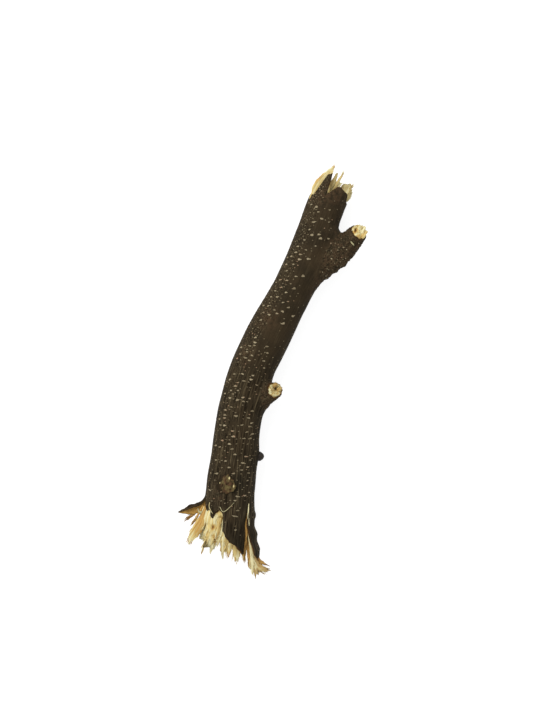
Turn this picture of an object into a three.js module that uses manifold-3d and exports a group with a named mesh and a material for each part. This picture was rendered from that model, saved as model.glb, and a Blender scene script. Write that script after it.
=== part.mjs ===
// A fallen branch, snapped at both ends, lying on its side: 23 to 29 mm thick, 247 mm long.
// Millimetres. +Y runs along the branch from its thick torn end to its thin one, +Z is up, and the
// ground is z = 0. Bark wraps the wood, and the torn ends show both.
import * as THREE from "three";
import { mergeVertices } from "three/addons/utils/BufferGeometryUtils.js";
import Module from "manifold-3d";

const wasm = await Module();
wasm.setup();

// Driving sizes
const STEM_BARK = 1.4; // thickness of the bark on the stem
const SIDE_BARK = 1.0; // on the side branch
const TWIG_BARK = 0.8; // on the twig stub
const GAP = 0.4; // clearance kept between two pieces that touch
const [BORE_FROM, BORE_TO] = [-124, 124]; // the length of the stem's bore, past both torn ends

// Finishes
const BARK_BROWN = new THREE.MeshStandardMaterial({ color: 0x3d352a, roughness: 0.8, metalness: 0 });
const SAPWOOD = new THREE.MeshStandardMaterial({ color: 0xdfc98f, roughness: 0.7, metalness: 0 });
const BUD_BROWN = new THREE.MeshStandardMaterial({ color: 0x2c231a, roughness: 0.6, metalness: 0 });

// Stem stations: y along, x of the axis, lift of the underside above the ground, radius.
// The stem bows 11 mm to the left. Its underside touches at three places, where it is pressed flat.
const STEM_STATIONS = [
  [-126, 3.2, 0.9, 14.6],
  [-111, 0.5, 0.5, 14.6],
  [-80, -5.6, -0.3, 14.6],
  [-56, -10.4, 0.5, 13.8],
  [-32, -14.6, 0.5, 13.3],
  [-7, -15.7, -0.3, 13.2],
  [19, -12.2, 1.3, 13.2],
  [46, -7.6, 2.3, 12.0],
  [74, -4.8, 0.8, 11.7],
  [98, -4.0, -0.3, 11.4],
  [127, -1.9, 0.4, 11.2],
].map(([y, x, lift, radius]) => [y, x, y, radius + lift, radius]);

// Side branch and twig stub: distance along, x, y, z, radius. Each starts inside the stem.
const SIDE_STATIONS = [
  [0, -4.0, 40.0, 12.5, 5.0],
  [15.5, 0.0, 55.0, 13.0, 5.8],
  [27.5, 6.0, 65.0, 14.5, 6.6],
  [39.8, 12.3, 75.0, 16.5, 7.4],
  [50.0, 16.7, 84.0, 19.0, 6.5],
  [58.0, 19.4, 91.0, 21.5, 5.4],
  [66.0, 21.9, 98.0, 24.4, 5.2],
];
const TWIG_STATIONS = [
  [0, -12.0, -30.0, 12.0, 5.2],
  [8.5, -7.0, -24.5, 16.0, 5.6],
  [16.2, -2.8, -19.0, 19.5, 5.3],
  [22.6, 0.8, -14.6, 22.5, 4.9],
  [30.0, 4.6, -9.8, 26.4, 4.6],
];

// Where the bark is torn: degrees round the limb (0 on top, 90 on the right), distance along.
const STEM_LOWER_TEAR = [
  [-90, -84.5], [-78, -86.0], [-59, -90.2], [-50, -92.7], [-37, -94.8], [-30, -90.2], [-22, -89.3],
  [-12, -90.8], [-6, -103.0], [3, -105.4], [13, -107.6], [21, -109.3], [32, -110.2], [45, -112.2],
  [56, -113.6], [60, -104.0], [66, -105.0], [74, -109.5], [82, -112.0], [94, -111.8], [102, -107.0],
  [114, -103.5], [128, -98.0], [142, -95.0], [155, -100.5], [172, -94.5], [190, -98.0], [207, -91.5],
  [225, -95.0], [245, -87.5], [258, -89.5],
];
const STEM_UPPER_TEAR = [
  [-90, 101.0], [-78, 103.0], [-62, 103.8], [-56, 102.4], [-50, 104.4], [-40, 107.8], [-34, 113.0],
  [-29, 117.2], [-20, 118.2], [-13, 114.4], [-9, 106.0], [-3, 108.2], [6, 110.2], [16, 111.8],
  [30, 112.2], [45, 111.2], [60, 111.8], [72, 109.0], [80, 106.8], [92, 106.0], [110, 107.5], [130, 111.0],
  [148, 107.0], [168, 112.0], [190, 106.0], [212, 109.5], [232, 102.5], [252, 105.0],
];
const SIDE_TEAR = [
  [-90, 56.6], [-45, 55.6], [0, 55.0], [30, 54.6], [60, 55.6], [90, 57.4], [120, 58.2], [160, 59.0],
  [200, 58.6], [235, 57.8],
];
const TWIG_TEAR = [
  [-90, 21.4], [-45, 18.6], [0, 17.4], [45, 18.8], [90, 22.0], [135, 24.2], [180, 25.2], [225, 23.8],
];

// Where the wood has snapped, the same way, on its rim. The middle of each break lies lower or higher.
const STEM_LOWER_BREAK = [
  [-90, -96], [-60, -99], [-30, -102], [0, -105], [30, -106], [60, -103], [100, -104],
  [140, -102], [180, -98], [220, -99],
];
const STEM_UPPER_BREAK = [
  [-90, 108], [-50, 112], [-20, 112], [0, 105], [40, 105], [70, 106], [100, 109], [150, 110],
  [190, 109], [230, 106],
];
const SIDE_BREAK = [[-90, 58.0], [0, 56.2], [60, 56.6], [110, 59.0], [180, 60.4], [230, 59.8]];
const TWIG_BREAK = [[-90, 22.2], [0, 18.8], [90, 22.8], [180, 26.2]];

// Swellings of the stem: distance along, degrees round, height, half length, half spread in degrees.
const SWELLINGS = [
  [64, 84, 2.0, 15, 46], // collar under the side branch
  [84, 74, 3.2, 6.5, 32], // ridge of bark in the crotch
  [-21, 66, 2.2, 10, 38], // collar under the twig stub
  [24, -18, 0.7, 7, 28], // old bud scars
  [0, -36, 0.8, 6, 22],
  [-57, 88, 0.8, 6, 24], // cushion under the bud
  [38, 150, 0.9, 12, 40],
  [-38, 215, 1.0, 14, 40],
  [8, 110, 0.6, 16, 40],
];

// The bark strip on the right of the thick end has split off along a crack and bends out: distance
// along the stem, and how far it stands off.
const STRIP_OUT = [[-80, 0], [-88, 1.0], [-99, 2.4], [-104, 3.8], [-107.5, 5.1], [-111.5, 7.4], [-130, 13]];
const STRIP = { middle: 88, spread: 34 };
const CRACK = [
  [7.5, -84.5], [7.7, -90], [9, -96.2], [11.4, -103.9], [13.6, -112.5], [15, -118],
  [21, -118], [19, -110.5], [17.3, -106.1], [14.7, -102.8], [12.3, -99.9], [10.6, -95.4],
];
const CRACK_FLOOR = 16;
const CRACK_DEPTH = 30;

// The scabbed knot near the thick end: where it sits, its half sizes and its lumps.
const KNOT = { along: -75.5, round: -9, across: 5.4, length: 6.4, height: 2.6, sunk: 0.6, lumps: 0.16 };

// Splinters: root, tip, width, thickness, bow sideways at half way, share of the width left at the tip.
const LOWER_SPLINTERS = [
  { root: [-14.6, -90, 17.5], tip: [-19.4, -116.8, 19.5], width: 7.0, thick: 2.4, bow: [0.6, 0, 1.2], blunt: 0.3 },
  { root: [-9.6, -86, 20.0], tip: [-9.0, -114.0, 19.5], width: 9.6, thick: 8.0, bow: [0, 0, 1.4], blunt: 0.5 },
  { root: [-5.4, -86, 21.5], tip: [-4.2, -113.0, 20.5], width: 5.2, thick: 6.0, bow: [0, 0, 1.8], blunt: 0.4 },
  { root: [-13.0, -88, 17.0], tip: [-12.4, -112.2, 16.5], width: 5.6, thick: 6.0, bow: [0, 0, 1.0], blunt: 0.4 },
  { root: [-9.0, -98, 18.5], tip: [-10.4, -119.6, 17.0], width: 3.0, thick: 2.6, bow: [0, 0, 0], blunt: 0.12 },
  { root: [-1.5, -97, 21.0], tip: [2.2, -118.0, 18.0], width: 5.4, thick: 4.6, bow: [0, 0, 0.6], blunt: 0.2 },
  { root: [2.0, -99, 21.0], tip: [4.8, -116.4, 18.5], width: 4.8, thick: 4.4, bow: [0, 0, 0.4], blunt: 0.25 },
  { root: [7.0, -101, 19.5], tip: [10.3, -118.2, 19.0], width: 6.2, thick: 3.2, bow: [0, 0, 0.8], blunt: 0.5 },
  { root: [9.0, -101, 18.0], tip: [12.6, -114.4, 17.5], width: 4.0, thick: 3.4, bow: [0, 0, 0], blunt: 0.25 },
  { root: [7.6, -90, 20.5], tip: [15.0, -115.6, 18.0], width: 3.0, thick: 3.0, bow: [-0.8, 0, 0.8], blunt: 0.2 },
  { root: [10.0, -96, 16.5], tip: [24.6, -122.8, 18.0], width: 5.6, thick: 2.8, bow: [-2.2, 0, 1.2], blunt: 0.6 },
  { root: [9.4, -97, 19.5], tip: [19.8, -121.0, 19.0], width: 2.6, thick: 2.4, bow: [-1.2, 0, 0.8], blunt: 0.2 },
  { root: [19.2, -117.0, 17.6], tip: [31.2, -117.6, 17.0], width: 4.6, thick: 2.2, bow: [0, -1.6, 0], blunt: 0.12 },
  { root: [9.5, -96, 15.0], tip: [28.2, -115.4, 17.5], width: 3.4, thick: 2.6, bow: [0.5, -1.6, 0.6], blunt: 0.35 },
  { root: [2.0, -96, 12.0], tip: [1.0, -114.6, 11.5], width: 6.5, thick: 5.5, bow: [0, 0, 0], blunt: 0.3 },
  { root: [-6.0, -94, 12.0], tip: [-6.5, -111.5, 11.0], width: 6.0, thick: 5.5, bow: [0, 0, 0], blunt: 0.3 },
  { root: [7.0, -96, 12.5], tip: [9.5, -111.5, 11.5], width: 6.0, thick: 5.0, bow: [0, 0, 0], blunt: 0.3 },
];
const UPPER_SPLINTERS = [
  { root: [-9.8, 92, 16.5], tip: [-6.7, 123.2, 17.5], width: 7.4, thick: 3.0, bow: [-2.4, 0, 1.0], blunt: 0.18 },
  { root: [-4.4, 100, 15.5], tip: [-3.4, 119.6, 15.5], width: 5.0, thick: 3.2, bow: [0, 0, 0], blunt: 0.35 },
  { root: [-3.6, 104, 14.5], tip: [-0.1, 122.0, 15.5], width: 2.2, thick: 1.8, bow: [0, 0, 0], blunt: 0.15 },
  { root: [2.8, 96, 8.0], tip: [3.6, 116.2, 8.5], width: 8.0, thick: 3.6, bow: [0, 0, 0], blunt: 0.75 },
  { root: [4.6, 96, 12.5], tip: [7.2, 112.6, 12.0], width: 4.2, thick: 4.6, bow: [0, 0, 0], blunt: 0.5 },
  { root: [-10.0, 96, 10.0], tip: [-8.8, 113.0, 10.0], width: 5.0, thick: 4.6, bow: [0, 0, 0], blunt: 0.45 },
  { root: [-4.0, 96, 5.0], tip: [-3.0, 116.0, 5.5], width: 8.0, thick: 3.6, bow: [0, 0, 0], blunt: 0.4 },
];
const SIDE_SPLINTERS = [
  { root: [15.6, 82, 20.5], tip: [16.4, 92.8, 22.4], width: 3.4, thick: 3.0, bow: [0, 0, 0], blunt: 0.5 },
  { root: [17.6, 82, 18.5], tip: [19.2, 94.8, 21.6], width: 4.4, thick: 3.6, bow: [0, 0, 0], blunt: 0.6 },
  { root: [19.4, 84, 20.0], tip: [22.3, 95.0, 22.4], width: 2.6, thick: 2.6, bow: [0, 0, 0], blunt: 0.3 },
  { root: [20.0, 84, 20.0], tip: [23.8, 92.8, 23.4], width: 2.8, thick: 2.8, bow: [0, 0, 0], blunt: 0.45 },
];
const TWIG_SPLINTERS = [
  { root: [-2.0, -18.0, 17.0], tip: [0.8, -9.6, 24.0], width: 3.4, thick: 2.8, bow: [0, 0, 0], blunt: 0.6 },
  { root: [0.0, -17.5, 17.0], tip: [4.6, -11.2, 24.2], width: 3.2, thick: 2.8, bow: [0, 0, 0], blunt: 0.6 },
  { root: [-2.6, -20.0, 17.5], tip: [0.6, -15.6, 24.0], width: 3.0, thick: 3.0, bow: [0, 0, 0], blunt: 0.6 },
];

// The curl of bark that has sprung out on the left of the thick end: places along its middle, its width
// there, and how far it is turned on edge in degrees.
const CURL = [
  { at: [-19.9, -79.0, 15.6], width: 5.0, turn: 88 },
  { at: [-19.0, -84.5, 15.8], width: 5.4, turn: 84 },
  { at: [-18.8, -89.5, 16.2], width: 5.8, turn: 68 },
  { at: [-21.0, -94.8, 17.0], width: 6.4, turn: 48 },
  { at: [-24.2, -97.6, 17.8], width: 7.4, turn: 38 },
  { at: [-27.2, -99.4, 17.4], width: 4.6, turn: 44 },
  { at: [-30.8, -102.6, 16.8], width: 1.2, turn: 50 },
];
const CURL_THICK = 1.2;

const BUD = { base: [4.0, -55.2, 14.6], toward: [0.95, 0.31, 0.05], sunk: 2.4 };
const BUD_PROFILE = [[0, 0], [2.4, 0], [2.8, 2.4], [2.7, 3.4], [2.0, 4.8], [1.0, 5.6], [0, 5.9]];

const STEM_GRID = { rings: 36, sides: 36 };
const BORE_GRID = { rings: 24, sides: 18 };
const SIDE_GRID = { rings: 9, sides: 18 };
const TWIG_GRID = { rings: 6, sides: 16 };

const RAD = Math.PI / 180;
const UP = new THREE.Vector3(0, 0, 1);

// A value read off a table of [degrees, value] that goes once round the limb.
function roundTable(table, degrees) {
  const turn = THREE.MathUtils.euclideanModulo(degrees + 90, 360) - 90;
  const next = table.findIndex(([at]) => at > turn);
  const [a, low] = table[(next < 0 ? table.length : next) - 1];
  const [b, high] = next < 0 ? [table[0][0] + 360, table[0][1]] : table[next];
  return THREE.MathUtils.mapLinear(turn, a, b, low, high);
}

const degreesApart = (a, b) => Math.abs(THREE.MathUtils.euclideanModulo(a - b + 180, 360) - 180);
const bell = (x) => Math.exp(-x * x);

// A limb is a smooth line through its stations. point() gives the place at a distance along, an angle
// round and a radius. skin() is the radius of the outside of the bark, and inner() that of its inside.
function makeLimb(stations, bark, swelling = () => 0, standOff = () => 0) {
  const track = new THREE.CubicInterpolant(stations.map((s) => s[0]), stations.flatMap((s) => s.slice(1)), 4);
  const centre = (along) => new THREE.Vector3().fromArray(track.evaluate(along));
  const plain = (along, degrees) => track.evaluate(along)[3] + standOff(along, degrees);
  return {
    length: stations.at(-1)[0],
    skin: (along, degrees) => plain(along, degrees) + swelling(along, degrees),
    inner: (along, degrees) => plain(along, degrees) - bark,
    point(along, degrees, radius) {
      const ahead = centre(along + 0.5).sub(centre(along - 0.5)).normalize();
      const side = new THREE.Vector3().crossVectors(ahead, UP).normalize();
      const top = new THREE.Vector3().crossVectors(side, ahead);
      return centre(along)
        .addScaledVector(side, radius * Math.sin(degrees * RAD))
        .addScaledVector(top, radius * Math.cos(degrees * RAD));
    },
  };
}

// Turns a three.js geometry into a solid that can be joined and cut.
function solidFrom(geometry) {
  const bare = geometry.clone();
  bare.deleteAttribute("normal");
  bare.deleteAttribute("uv");
  const merged = mergeVertices(bare, 1e-4);
  const faces = [];
  const index = merged.index.array;
  for (let i = 0; i < index.length; i += 3) {
    const [a, b, c] = index.slice(i, i + 3);
    if (a !== b && b !== c && c !== a) faces.push(a, b, c);
  }
  const vertProperties = merged.attributes.position.array;
  return new wasm.Manifold(new wasm.Mesh({ numProp: 3, vertProperties, triVerts: new Uint32Array(faces) }));
}

// A mesh from a finished solid, with slivers too thin to matter taken out.
function meshFrom(solid, name, material) {
  const { vertProperties, triVerts } = solid.simplify(0.04).getMesh();
  const geometry = new THREE.BufferGeometry();
  geometry.setAttribute("position", new THREE.BufferAttribute(vertProperties, 3));
  geometry.setIndex(new THREE.BufferAttribute(triVerts, 1));
  const mesh = new THREE.Mesh(geometry, material);
  mesh.name = name;
  return mesh;
}

// A closed length of limb, turned on a lathe and then laid along the limb. lower and upper give the
// distance along of its two ends at an angle, on the rim and in the middle.
function limbSolid(limb, grid, radiusAt, lower, upper) {
  const profile = [new THREE.Vector2(0, 0), new THREE.Vector2(0.5, 0)];
  for (let ring = 0; ring <= grid.rings; ring++) profile.push(new THREE.Vector2(1, ring / grid.rings));
  profile.push(new THREE.Vector2(0.5, 1), new THREE.Vector2(0, 1));
  const lathe = new THREE.LatheGeometry(profile, grid.sides);
  const place = lathe.attributes.position;
  for (let i = 0; i < place.count; i++) {
    const [x, share, z] = [place.getX(i), place.getY(i), place.getZ(i)];
    const inward = Math.hypot(x, z);
    const degrees = Math.atan2(x, z) / RAD;
    const along = THREE.MathUtils.lerp(lower(degrees, inward), upper(degrees, inward), share);
    const point = limb.point(along, degrees, inward * radiusAt(along, degrees));
    place.setXYZ(i, point.x, point.y, point.z);
  }
  return solidFrom(lathe);
}

// An end that follows a table on its rim and eases to one value in the middle.
const brokenEnd = (table, middle) => (degrees, inward) =>
  THREE.MathUtils.lerp(middle, roundTable(table, degrees), inward);
const flatEnd = (along) => () => along;

// Flattens whatever would be below the ground.
const standOnGround = (solid) => solid.warp((place) => { place[2] = Math.max(place[2], 0); });

// A splinter: a six-sided sliver that bows on its way and narrows to its tip.
function splinter({ root, tip, width, thick, bow, blunt }) {
  const [from, to] = [new THREE.Vector3(...root), new THREE.Vector3(...tip)];
  const sliver = new THREE.CylinderGeometry(0.5, 0.5, 1, 6, 5);
  const across = to.clone().sub(from).cross(UP).normalize();
  const face = across.clone().cross(to.clone().sub(from)).normalize();
  const place = sliver.attributes.position;
  for (let i = 0; i < place.count; i++) {
    const share = place.getY(i) + 0.5;
    const narrow = THREE.MathUtils.lerp(1, blunt, share ** 2.2);
    const point = from.clone().lerp(to, share)
      .addScaledVector(new THREE.Vector3(...bow), 4 * share * (1 - share))
      .addScaledVector(across, place.getX(i) * width * narrow)
      .addScaledVector(face, place.getZ(i) * thick * THREE.MathUtils.lerp(1, blunt, share));
    place.setXYZ(i, point.x, point.y, point.z);
  }
  return solidFrom(sliver);
}

const joined = (solids) => solids.reduce((all, next) => all.add(next));

const stemSwelling = (along, degrees) => SWELLINGS.reduce(
  (sum, [at, round, height, length, spread]) =>
    sum + height * bell((along - at) / length) * bell(degreesApart(degrees, round) / spread), 0);
// How far the split bark strip stands off the stem.
function stripOut(along, degrees) {
  const after = STRIP_OUT.findIndex(([at]) => at < along);
  if (after === 0) return 0;
  const [[a, low], [b, high]] = STRIP_OUT.slice(after - 1, after + 1);
  const apart = degreesApart(degrees, STRIP.middle) / STRIP.spread;
  return THREE.MathUtils.mapLinear(along, a, b, low, high) * (1 - THREE.MathUtils.smoothstep(apart, 0.85, 1.3));
}

const stem = makeLimb(STEM_STATIONS, STEM_BARK, stemSwelling);
const tornStem = makeLimb(STEM_STATIONS, STEM_BARK, stemSwelling, stripOut); // with its split strip
const sideBranch = makeLimb(SIDE_STATIONS, SIDE_BARK);
const twig = makeLimb(TWIG_STATIONS, TWIG_BARK);

// The whole body of the stem between its torn ends, grown by a margin.
function stemBody(margin) {
  const reach = margin * 8; // the margin in degrees round the stem, a little over
  const around = (table, degrees) => [-reach, 0, reach].map((turn) => roundTable(table, degrees + turn));
  const lower = (degrees) => Math.min(...around(STEM_LOWER_TEAR, degrees)) - margin;
  const upper = (degrees) => Math.max(...around(STEM_UPPER_TEAR, degrees)) + margin;
  return limbSolid(tornStem, STEM_GRID, (along, degrees) => tornStem.skin(along, degrees) + margin, lower, upper);
}

// A length of the hollow inside a limb's bark, narrower by a clearance.
function limbInside(limb, grid, clearance, lower, upper) {
  return limbSolid(limb, grid, (along, degrees) => limb.inner(along, degrees) - clearance, lower, upper);
}

// The curl of bark, a strip that bends out, turns and comes to a tip.
function barkCurl(margin) {
  const curve = new THREE.CatmullRomCurve3(CURL.map((stop) => new THREE.Vector3(...stop.at)));
  const strip = new THREE.BoxGeometry(1, 1, 1, 2, 12, 1);
  const place = strip.attributes.position;
  for (let i = 0; i < place.count; i++) {
    const stop = (place.getY(i) + 0.5) * (CURL.length - 1);
    const first = Math.min(Math.floor(stop), CURL.length - 2);
    const width = THREE.MathUtils.lerp(CURL[first].width, CURL[first + 1].width, stop - first);
    const turn = THREE.MathUtils.lerp(CURL[first].turn, CURL[first + 1].turn, stop - first);
    const ahead = curve.getTangent(stop / (CURL.length - 1));
    const across = ahead.clone().cross(UP).normalize().applyAxisAngle(ahead, turn * RAD);
    const face = across.clone().cross(ahead);
    const point = curve.getPoint(stop / (CURL.length - 1))
      .addScaledVector(ahead, place.getY(i) * 2 * margin)
      .addScaledVector(across, place.getX(i) * (width + 2 * margin))
      .addScaledVector(face, place.getZ(i) * (CURL_THICK + 2 * margin));
    place.setXYZ(i, point.x, point.y, point.z);
  }
  return solidFrom(strip);
}

// The crack beside the split strip, cut straight down from above.
function crackCut() {
  const outline = new THREE.Shape(CRACK.map(([x, y]) => new THREE.Vector2(x, y)));
  const cutter = new THREE.ExtrudeGeometry(outline, { depth: CRACK_DEPTH, bevelEnabled: false });
  return solidFrom(cutter.translate(0, 0, CRACK_FLOOR));
}

// The scabbed knot: a squashed ball with lumps, half sunk in the bark.
function knot() {
  const ball = new THREE.IcosahedronGeometry(1, 3);
  const place = ball.attributes.position;
  const middle = stem.point(KNOT.along, KNOT.round, stem.skin(KNOT.along, KNOT.round) - KNOT.sunk);
  for (let i = 0; i < place.count; i++) {
    const [x, y, z] = [place.getX(i), place.getY(i), place.getZ(i)];
    const lump = 1 + KNOT.lumps * (Math.sin(5 * x + 3 * z) + Math.sin(4 * y - 2 * x) + Math.sin(6 * z + y));
    const [across, length, height] = [KNOT.across * x * lump, KNOT.length * y * lump, KNOT.height * z * lump];
    place.setXYZ(i, middle.x + across, middle.y + length, middle.z + height);
  }
  return solidFrom(ball);
}

// The stem's bark and curl, grown by a margin, with its bore made narrower.
function stemSleeve(margin, boreMargin) {
  return stemBody(margin)
    .subtract(limbInside(tornStem, BORE_GRID, boreMargin, flatEnd(BORE_FROM), flatEnd(BORE_TO)))
    .add(barkCurl(margin));
}

function stemBark() {
  const bored = stemSleeve(0, 0).subtract(crackCut());
  const hollow = limbInside(tornStem, BORE_GRID, 0, flatEnd(BORE_FROM), flatEnd(BORE_TO));
  return standOnGround(bored.add(knot().subtract(hollow)));
}

// The splinters are trimmed a little further in than the core, so that the two never share a face.
function stemWood() {
  const [lower, upper] = [brokenEnd(STEM_LOWER_BREAK, -104), brokenEnd(STEM_UPPER_BREAK, 104)];
  const core = limbInside(stem, BORE_GRID, GAP, lower, upper);
  const splinters = joined([...LOWER_SPLINTERS, ...UPPER_SPLINTERS].map(splinter));
  return core.add(splinters.subtract(stemSleeve(GAP, 1.5 * GAP)));
}

function limbBark(limb, grid, tear) {
  const skin = limbSolid(limb, grid, limb.skin, flatEnd(2), (degrees) => roundTable(tear, degrees));
  return skin.subtract(limbInside(limb, grid, 0, flatEnd(0), flatEnd(limb.length))).subtract(stemBody(GAP));
}

function limbWood(limb, grid, table, middle, splinters) {
  const core = limbInside(limb, grid, GAP, flatEnd(2), brokenEnd(table, middle));
  const inBore = limbInside(limb, grid, 1.5 * GAP, flatEnd(1), flatEnd(limb.length));
  return core.add(joined(splinters.map(splinter)).intersect(inBore)).subtract(stemBody(GAP));
}

// The bud: a squat cone on the right of the stem.
function bud() {
  const lathe = new THREE.LatheGeometry(BUD_PROFILE.map(([r, h]) => new THREE.Vector2(r, h - BUD.sunk)), 14);
  const toward = new THREE.Vector3(...BUD.toward).normalize();
  const turn = new THREE.Quaternion().setFromUnitVectors(new THREE.Vector3(0, 1, 0), toward);
  lathe.applyQuaternion(turn).translate(...BUD.base);
  return solidFrom(lathe).subtract(stemBody(GAP));
}

const branch = new THREE.Group();
branch.add(
  meshFrom(stemBark(), "stem_bark", BARK_BROWN),
  meshFrom(stemWood(), "stem_wood", SAPWOOD),
  meshFrom(limbBark(sideBranch, SIDE_GRID, SIDE_TEAR), "side_branch_bark", BARK_BROWN),
  meshFrom(limbWood(sideBranch, SIDE_GRID, SIDE_BREAK, 59, SIDE_SPLINTERS), "side_branch_wood", SAPWOOD),
  meshFrom(limbBark(twig, TWIG_GRID, TWIG_TEAR), "twig_stub_bark", BARK_BROWN),
  meshFrom(limbWood(twig, TWIG_GRID, TWIG_BREAK, 22.4, TWIG_SPLINTERS), "twig_stub_wood", SAPWOOD),
  meshFrom(bud(), "bud", BUD_BROWN),
);
export default branch;
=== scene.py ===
# %% [markdown]
# # A fallen branch, snapped at both ends
# A short length of a young stem lies on the ground. Bark wraps pale wood, both ends are torn, a side
# branch and a twig are snapped to stubs, and one bud sits on the right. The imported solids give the
# place and the size of everything. Each cell below makes one piece or one finish over them.

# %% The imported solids
import math

import bmesh
import bpy
import numpy as np
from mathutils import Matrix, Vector, noise


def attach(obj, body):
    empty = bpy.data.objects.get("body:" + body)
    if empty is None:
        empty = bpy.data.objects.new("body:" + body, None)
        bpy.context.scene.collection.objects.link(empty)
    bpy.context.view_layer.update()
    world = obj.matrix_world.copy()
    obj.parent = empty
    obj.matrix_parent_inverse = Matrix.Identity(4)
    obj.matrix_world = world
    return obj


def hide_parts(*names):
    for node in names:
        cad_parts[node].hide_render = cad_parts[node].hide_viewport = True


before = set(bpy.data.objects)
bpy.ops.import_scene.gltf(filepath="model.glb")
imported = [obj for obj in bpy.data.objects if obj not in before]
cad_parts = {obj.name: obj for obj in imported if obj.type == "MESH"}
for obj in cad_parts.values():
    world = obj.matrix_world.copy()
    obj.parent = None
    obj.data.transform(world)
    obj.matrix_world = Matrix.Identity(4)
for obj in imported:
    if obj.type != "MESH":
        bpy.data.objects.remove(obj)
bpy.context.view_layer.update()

MM = 0.001

# %% [markdown]
# ## The camera
# The branch is seen from straight above, with its length leaning to the right in the picture. One
# picture element covers 0.6 mm at the height of the branch, which sets the lens for a camera 0.9 m up.

# %% Camera
PICTURE = (533, 711)  # picture elements
ELEMENT = 0.6  # mm covered by one of them
BRANCH_HEIGHT = 13.0  # mm, the height at which that holds
CAMERA_ABOVE = 900.0  # mm above that height
CAMERA_PLACE = (-10.0, 3.7)
CAMERA_ROLL = 18.0
SENSOR = 36.0

camera_data = bpy.data.cameras.new("camera")
camera_data.sensor_width = SENSOR
camera_data.lens = SENSOR * CAMERA_ABOVE / (PICTURE[1] * ELEMENT)
camera = bpy.data.objects.new("camera", camera_data)
camera.location = (CAMERA_PLACE[0] * MM, CAMERA_PLACE[1] * MM, (CAMERA_ABOVE + BRANCH_HEIGHT) * MM)
camera.rotation_euler = (0, 0, math.radians(CAMERA_ROLL))
bpy.context.scene.collection.objects.link(camera)
bpy.context.scene.camera = camera
print("lens", round(camera_data.lens, 2), "mm")

# %% [markdown]
# ## The studio
# The branch lies on plain white in soft light. Several lamps could give that, but light from all round
# and one large lamp at the upper left of the picture do it more simply. The floor glows, as a light
# table does, so that shadows all but vanish.

# %% Floor, world and lamps
FLOOR_SIZE = 6.0  # m
FLOOR_GREY = 0.26
FLOOR_GLOW = 0.82
FLOOR_ROUGHNESS = 0.9
SKY = 1.0
KEY_PLACE = (-0.75, 0.55, 1.05)  # m
KEY_SIZE = 0.7  # m
KEY_WATTS = 17.0

bpy.ops.object.select_all(action="DESELECT")
bpy.ops.mesh.primitive_plane_add(size=FLOOR_SIZE)
floor = bpy.context.active_object
floor.name = "floor"
white = bpy.data.materials.new("white floor")
white.use_nodes = True
paint = white.node_tree.nodes["Principled BSDF"]
paint.inputs["Base Color"].default_value = (FLOOR_GREY, FLOOR_GREY, FLOOR_GREY, 1)
paint.inputs["Roughness"].default_value = FLOOR_ROUGHNESS
paint.inputs["Emission Color"].default_value = (1, 1, 1, 1)
paint.inputs["Emission Strength"].default_value = FLOOR_GLOW
floor.data.materials.append(white)

sky = bpy.data.worlds.new("sky")
sky.use_nodes = True
sky.node_tree.nodes["Background"].inputs["Color"].default_value = (1, 1, 1, 1)
sky.node_tree.nodes["Background"].inputs["Strength"].default_value = SKY
bpy.context.scene.world = sky
bpy.context.scene.view_settings.view_transform = "Standard"

lamp_data = bpy.data.lights.new("key", "AREA")
lamp_data.size = KEY_SIZE
lamp_data.energy = KEY_WATTS
lamp = bpy.data.objects.new("key", lamp_data)
lamp.location = KEY_PLACE
lamp.rotation_euler = (-Vector(KEY_PLACE)).to_track_quat("-Z", "Y").to_euler()
bpy.context.scene.collection.objects.link(lamp)
print("floor", FLOOR_SIZE, "m across")

# %% [markdown]
# ## Limbs
# A limb is a smooth line through a few stations, each with a radius, and these are the stations of
# the solids. A place on a limb is a distance along it, an angle round it (0 on top, 90 on the right)
# and a radius. The faces of the solids are too large to carry bark, so their line is followed instead.
# Everything below is first thought of on a straight limb, where bark and grain are simple, and then
# laid along the bent one. Sizes are in millimetres until a mesh is made.

# %% The stations of the three limbs
# Stem: y, x, lift of the underside above the ground, radius
STEM_STATIONS = [
    (-126, 3.2, 0.9, 14.6), (-111, 0.5, 0.5, 14.6), (-80, -5.6, -0.3, 14.6), (-56, -10.4, 0.5, 13.8),
    (-32, -14.6, 0.5, 13.3), (-7, -15.7, -0.3, 13.2), (19, -12.2, 1.3, 13.2), (46, -7.6, 2.3, 12.0),
    (74, -4.8, 0.8, 11.7), (98, -4.0, -0.3, 11.4), (127, -1.9, 0.4, 11.2),
]
# Side branch and twig stub: distance along, x, y, z, radius
SIDE_STATIONS = [
    (0, -4.0, 40.0, 12.5, 5.0), (15.5, 0.0, 55.0, 13.0, 5.8), (27.5, 6.0, 65.0, 14.5, 6.6),
    (39.8, 12.3, 75.0, 16.5, 7.4), (50.0, 16.7, 84.0, 19.0, 6.5), (58.0, 19.4, 91.0, 21.5, 5.4),
    (66.0, 21.9, 98.0, 24.4, 5.2),
]
TWIG_STATIONS = [
    (0, -12.0, -30.0, 12.0, 5.2), (8.5, -7.0, -24.5, 16.0, 5.6), (16.2, -2.8, -19.0, 19.5, 5.3),
    (22.6, 0.8, -14.6, 22.5, 4.9), (30.0, 4.6, -9.8, 26.4, 4.6),
]
UP = np.array((0.0, 0.0, 1.0))
ABOUT_RADIUS = 13.0  # mm, about half the thickness of the stem


def direction(vectors):
    """Vectors made one long."""
    return vectors / np.linalg.norm(vectors, axis=-1, keepdims=True)


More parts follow.
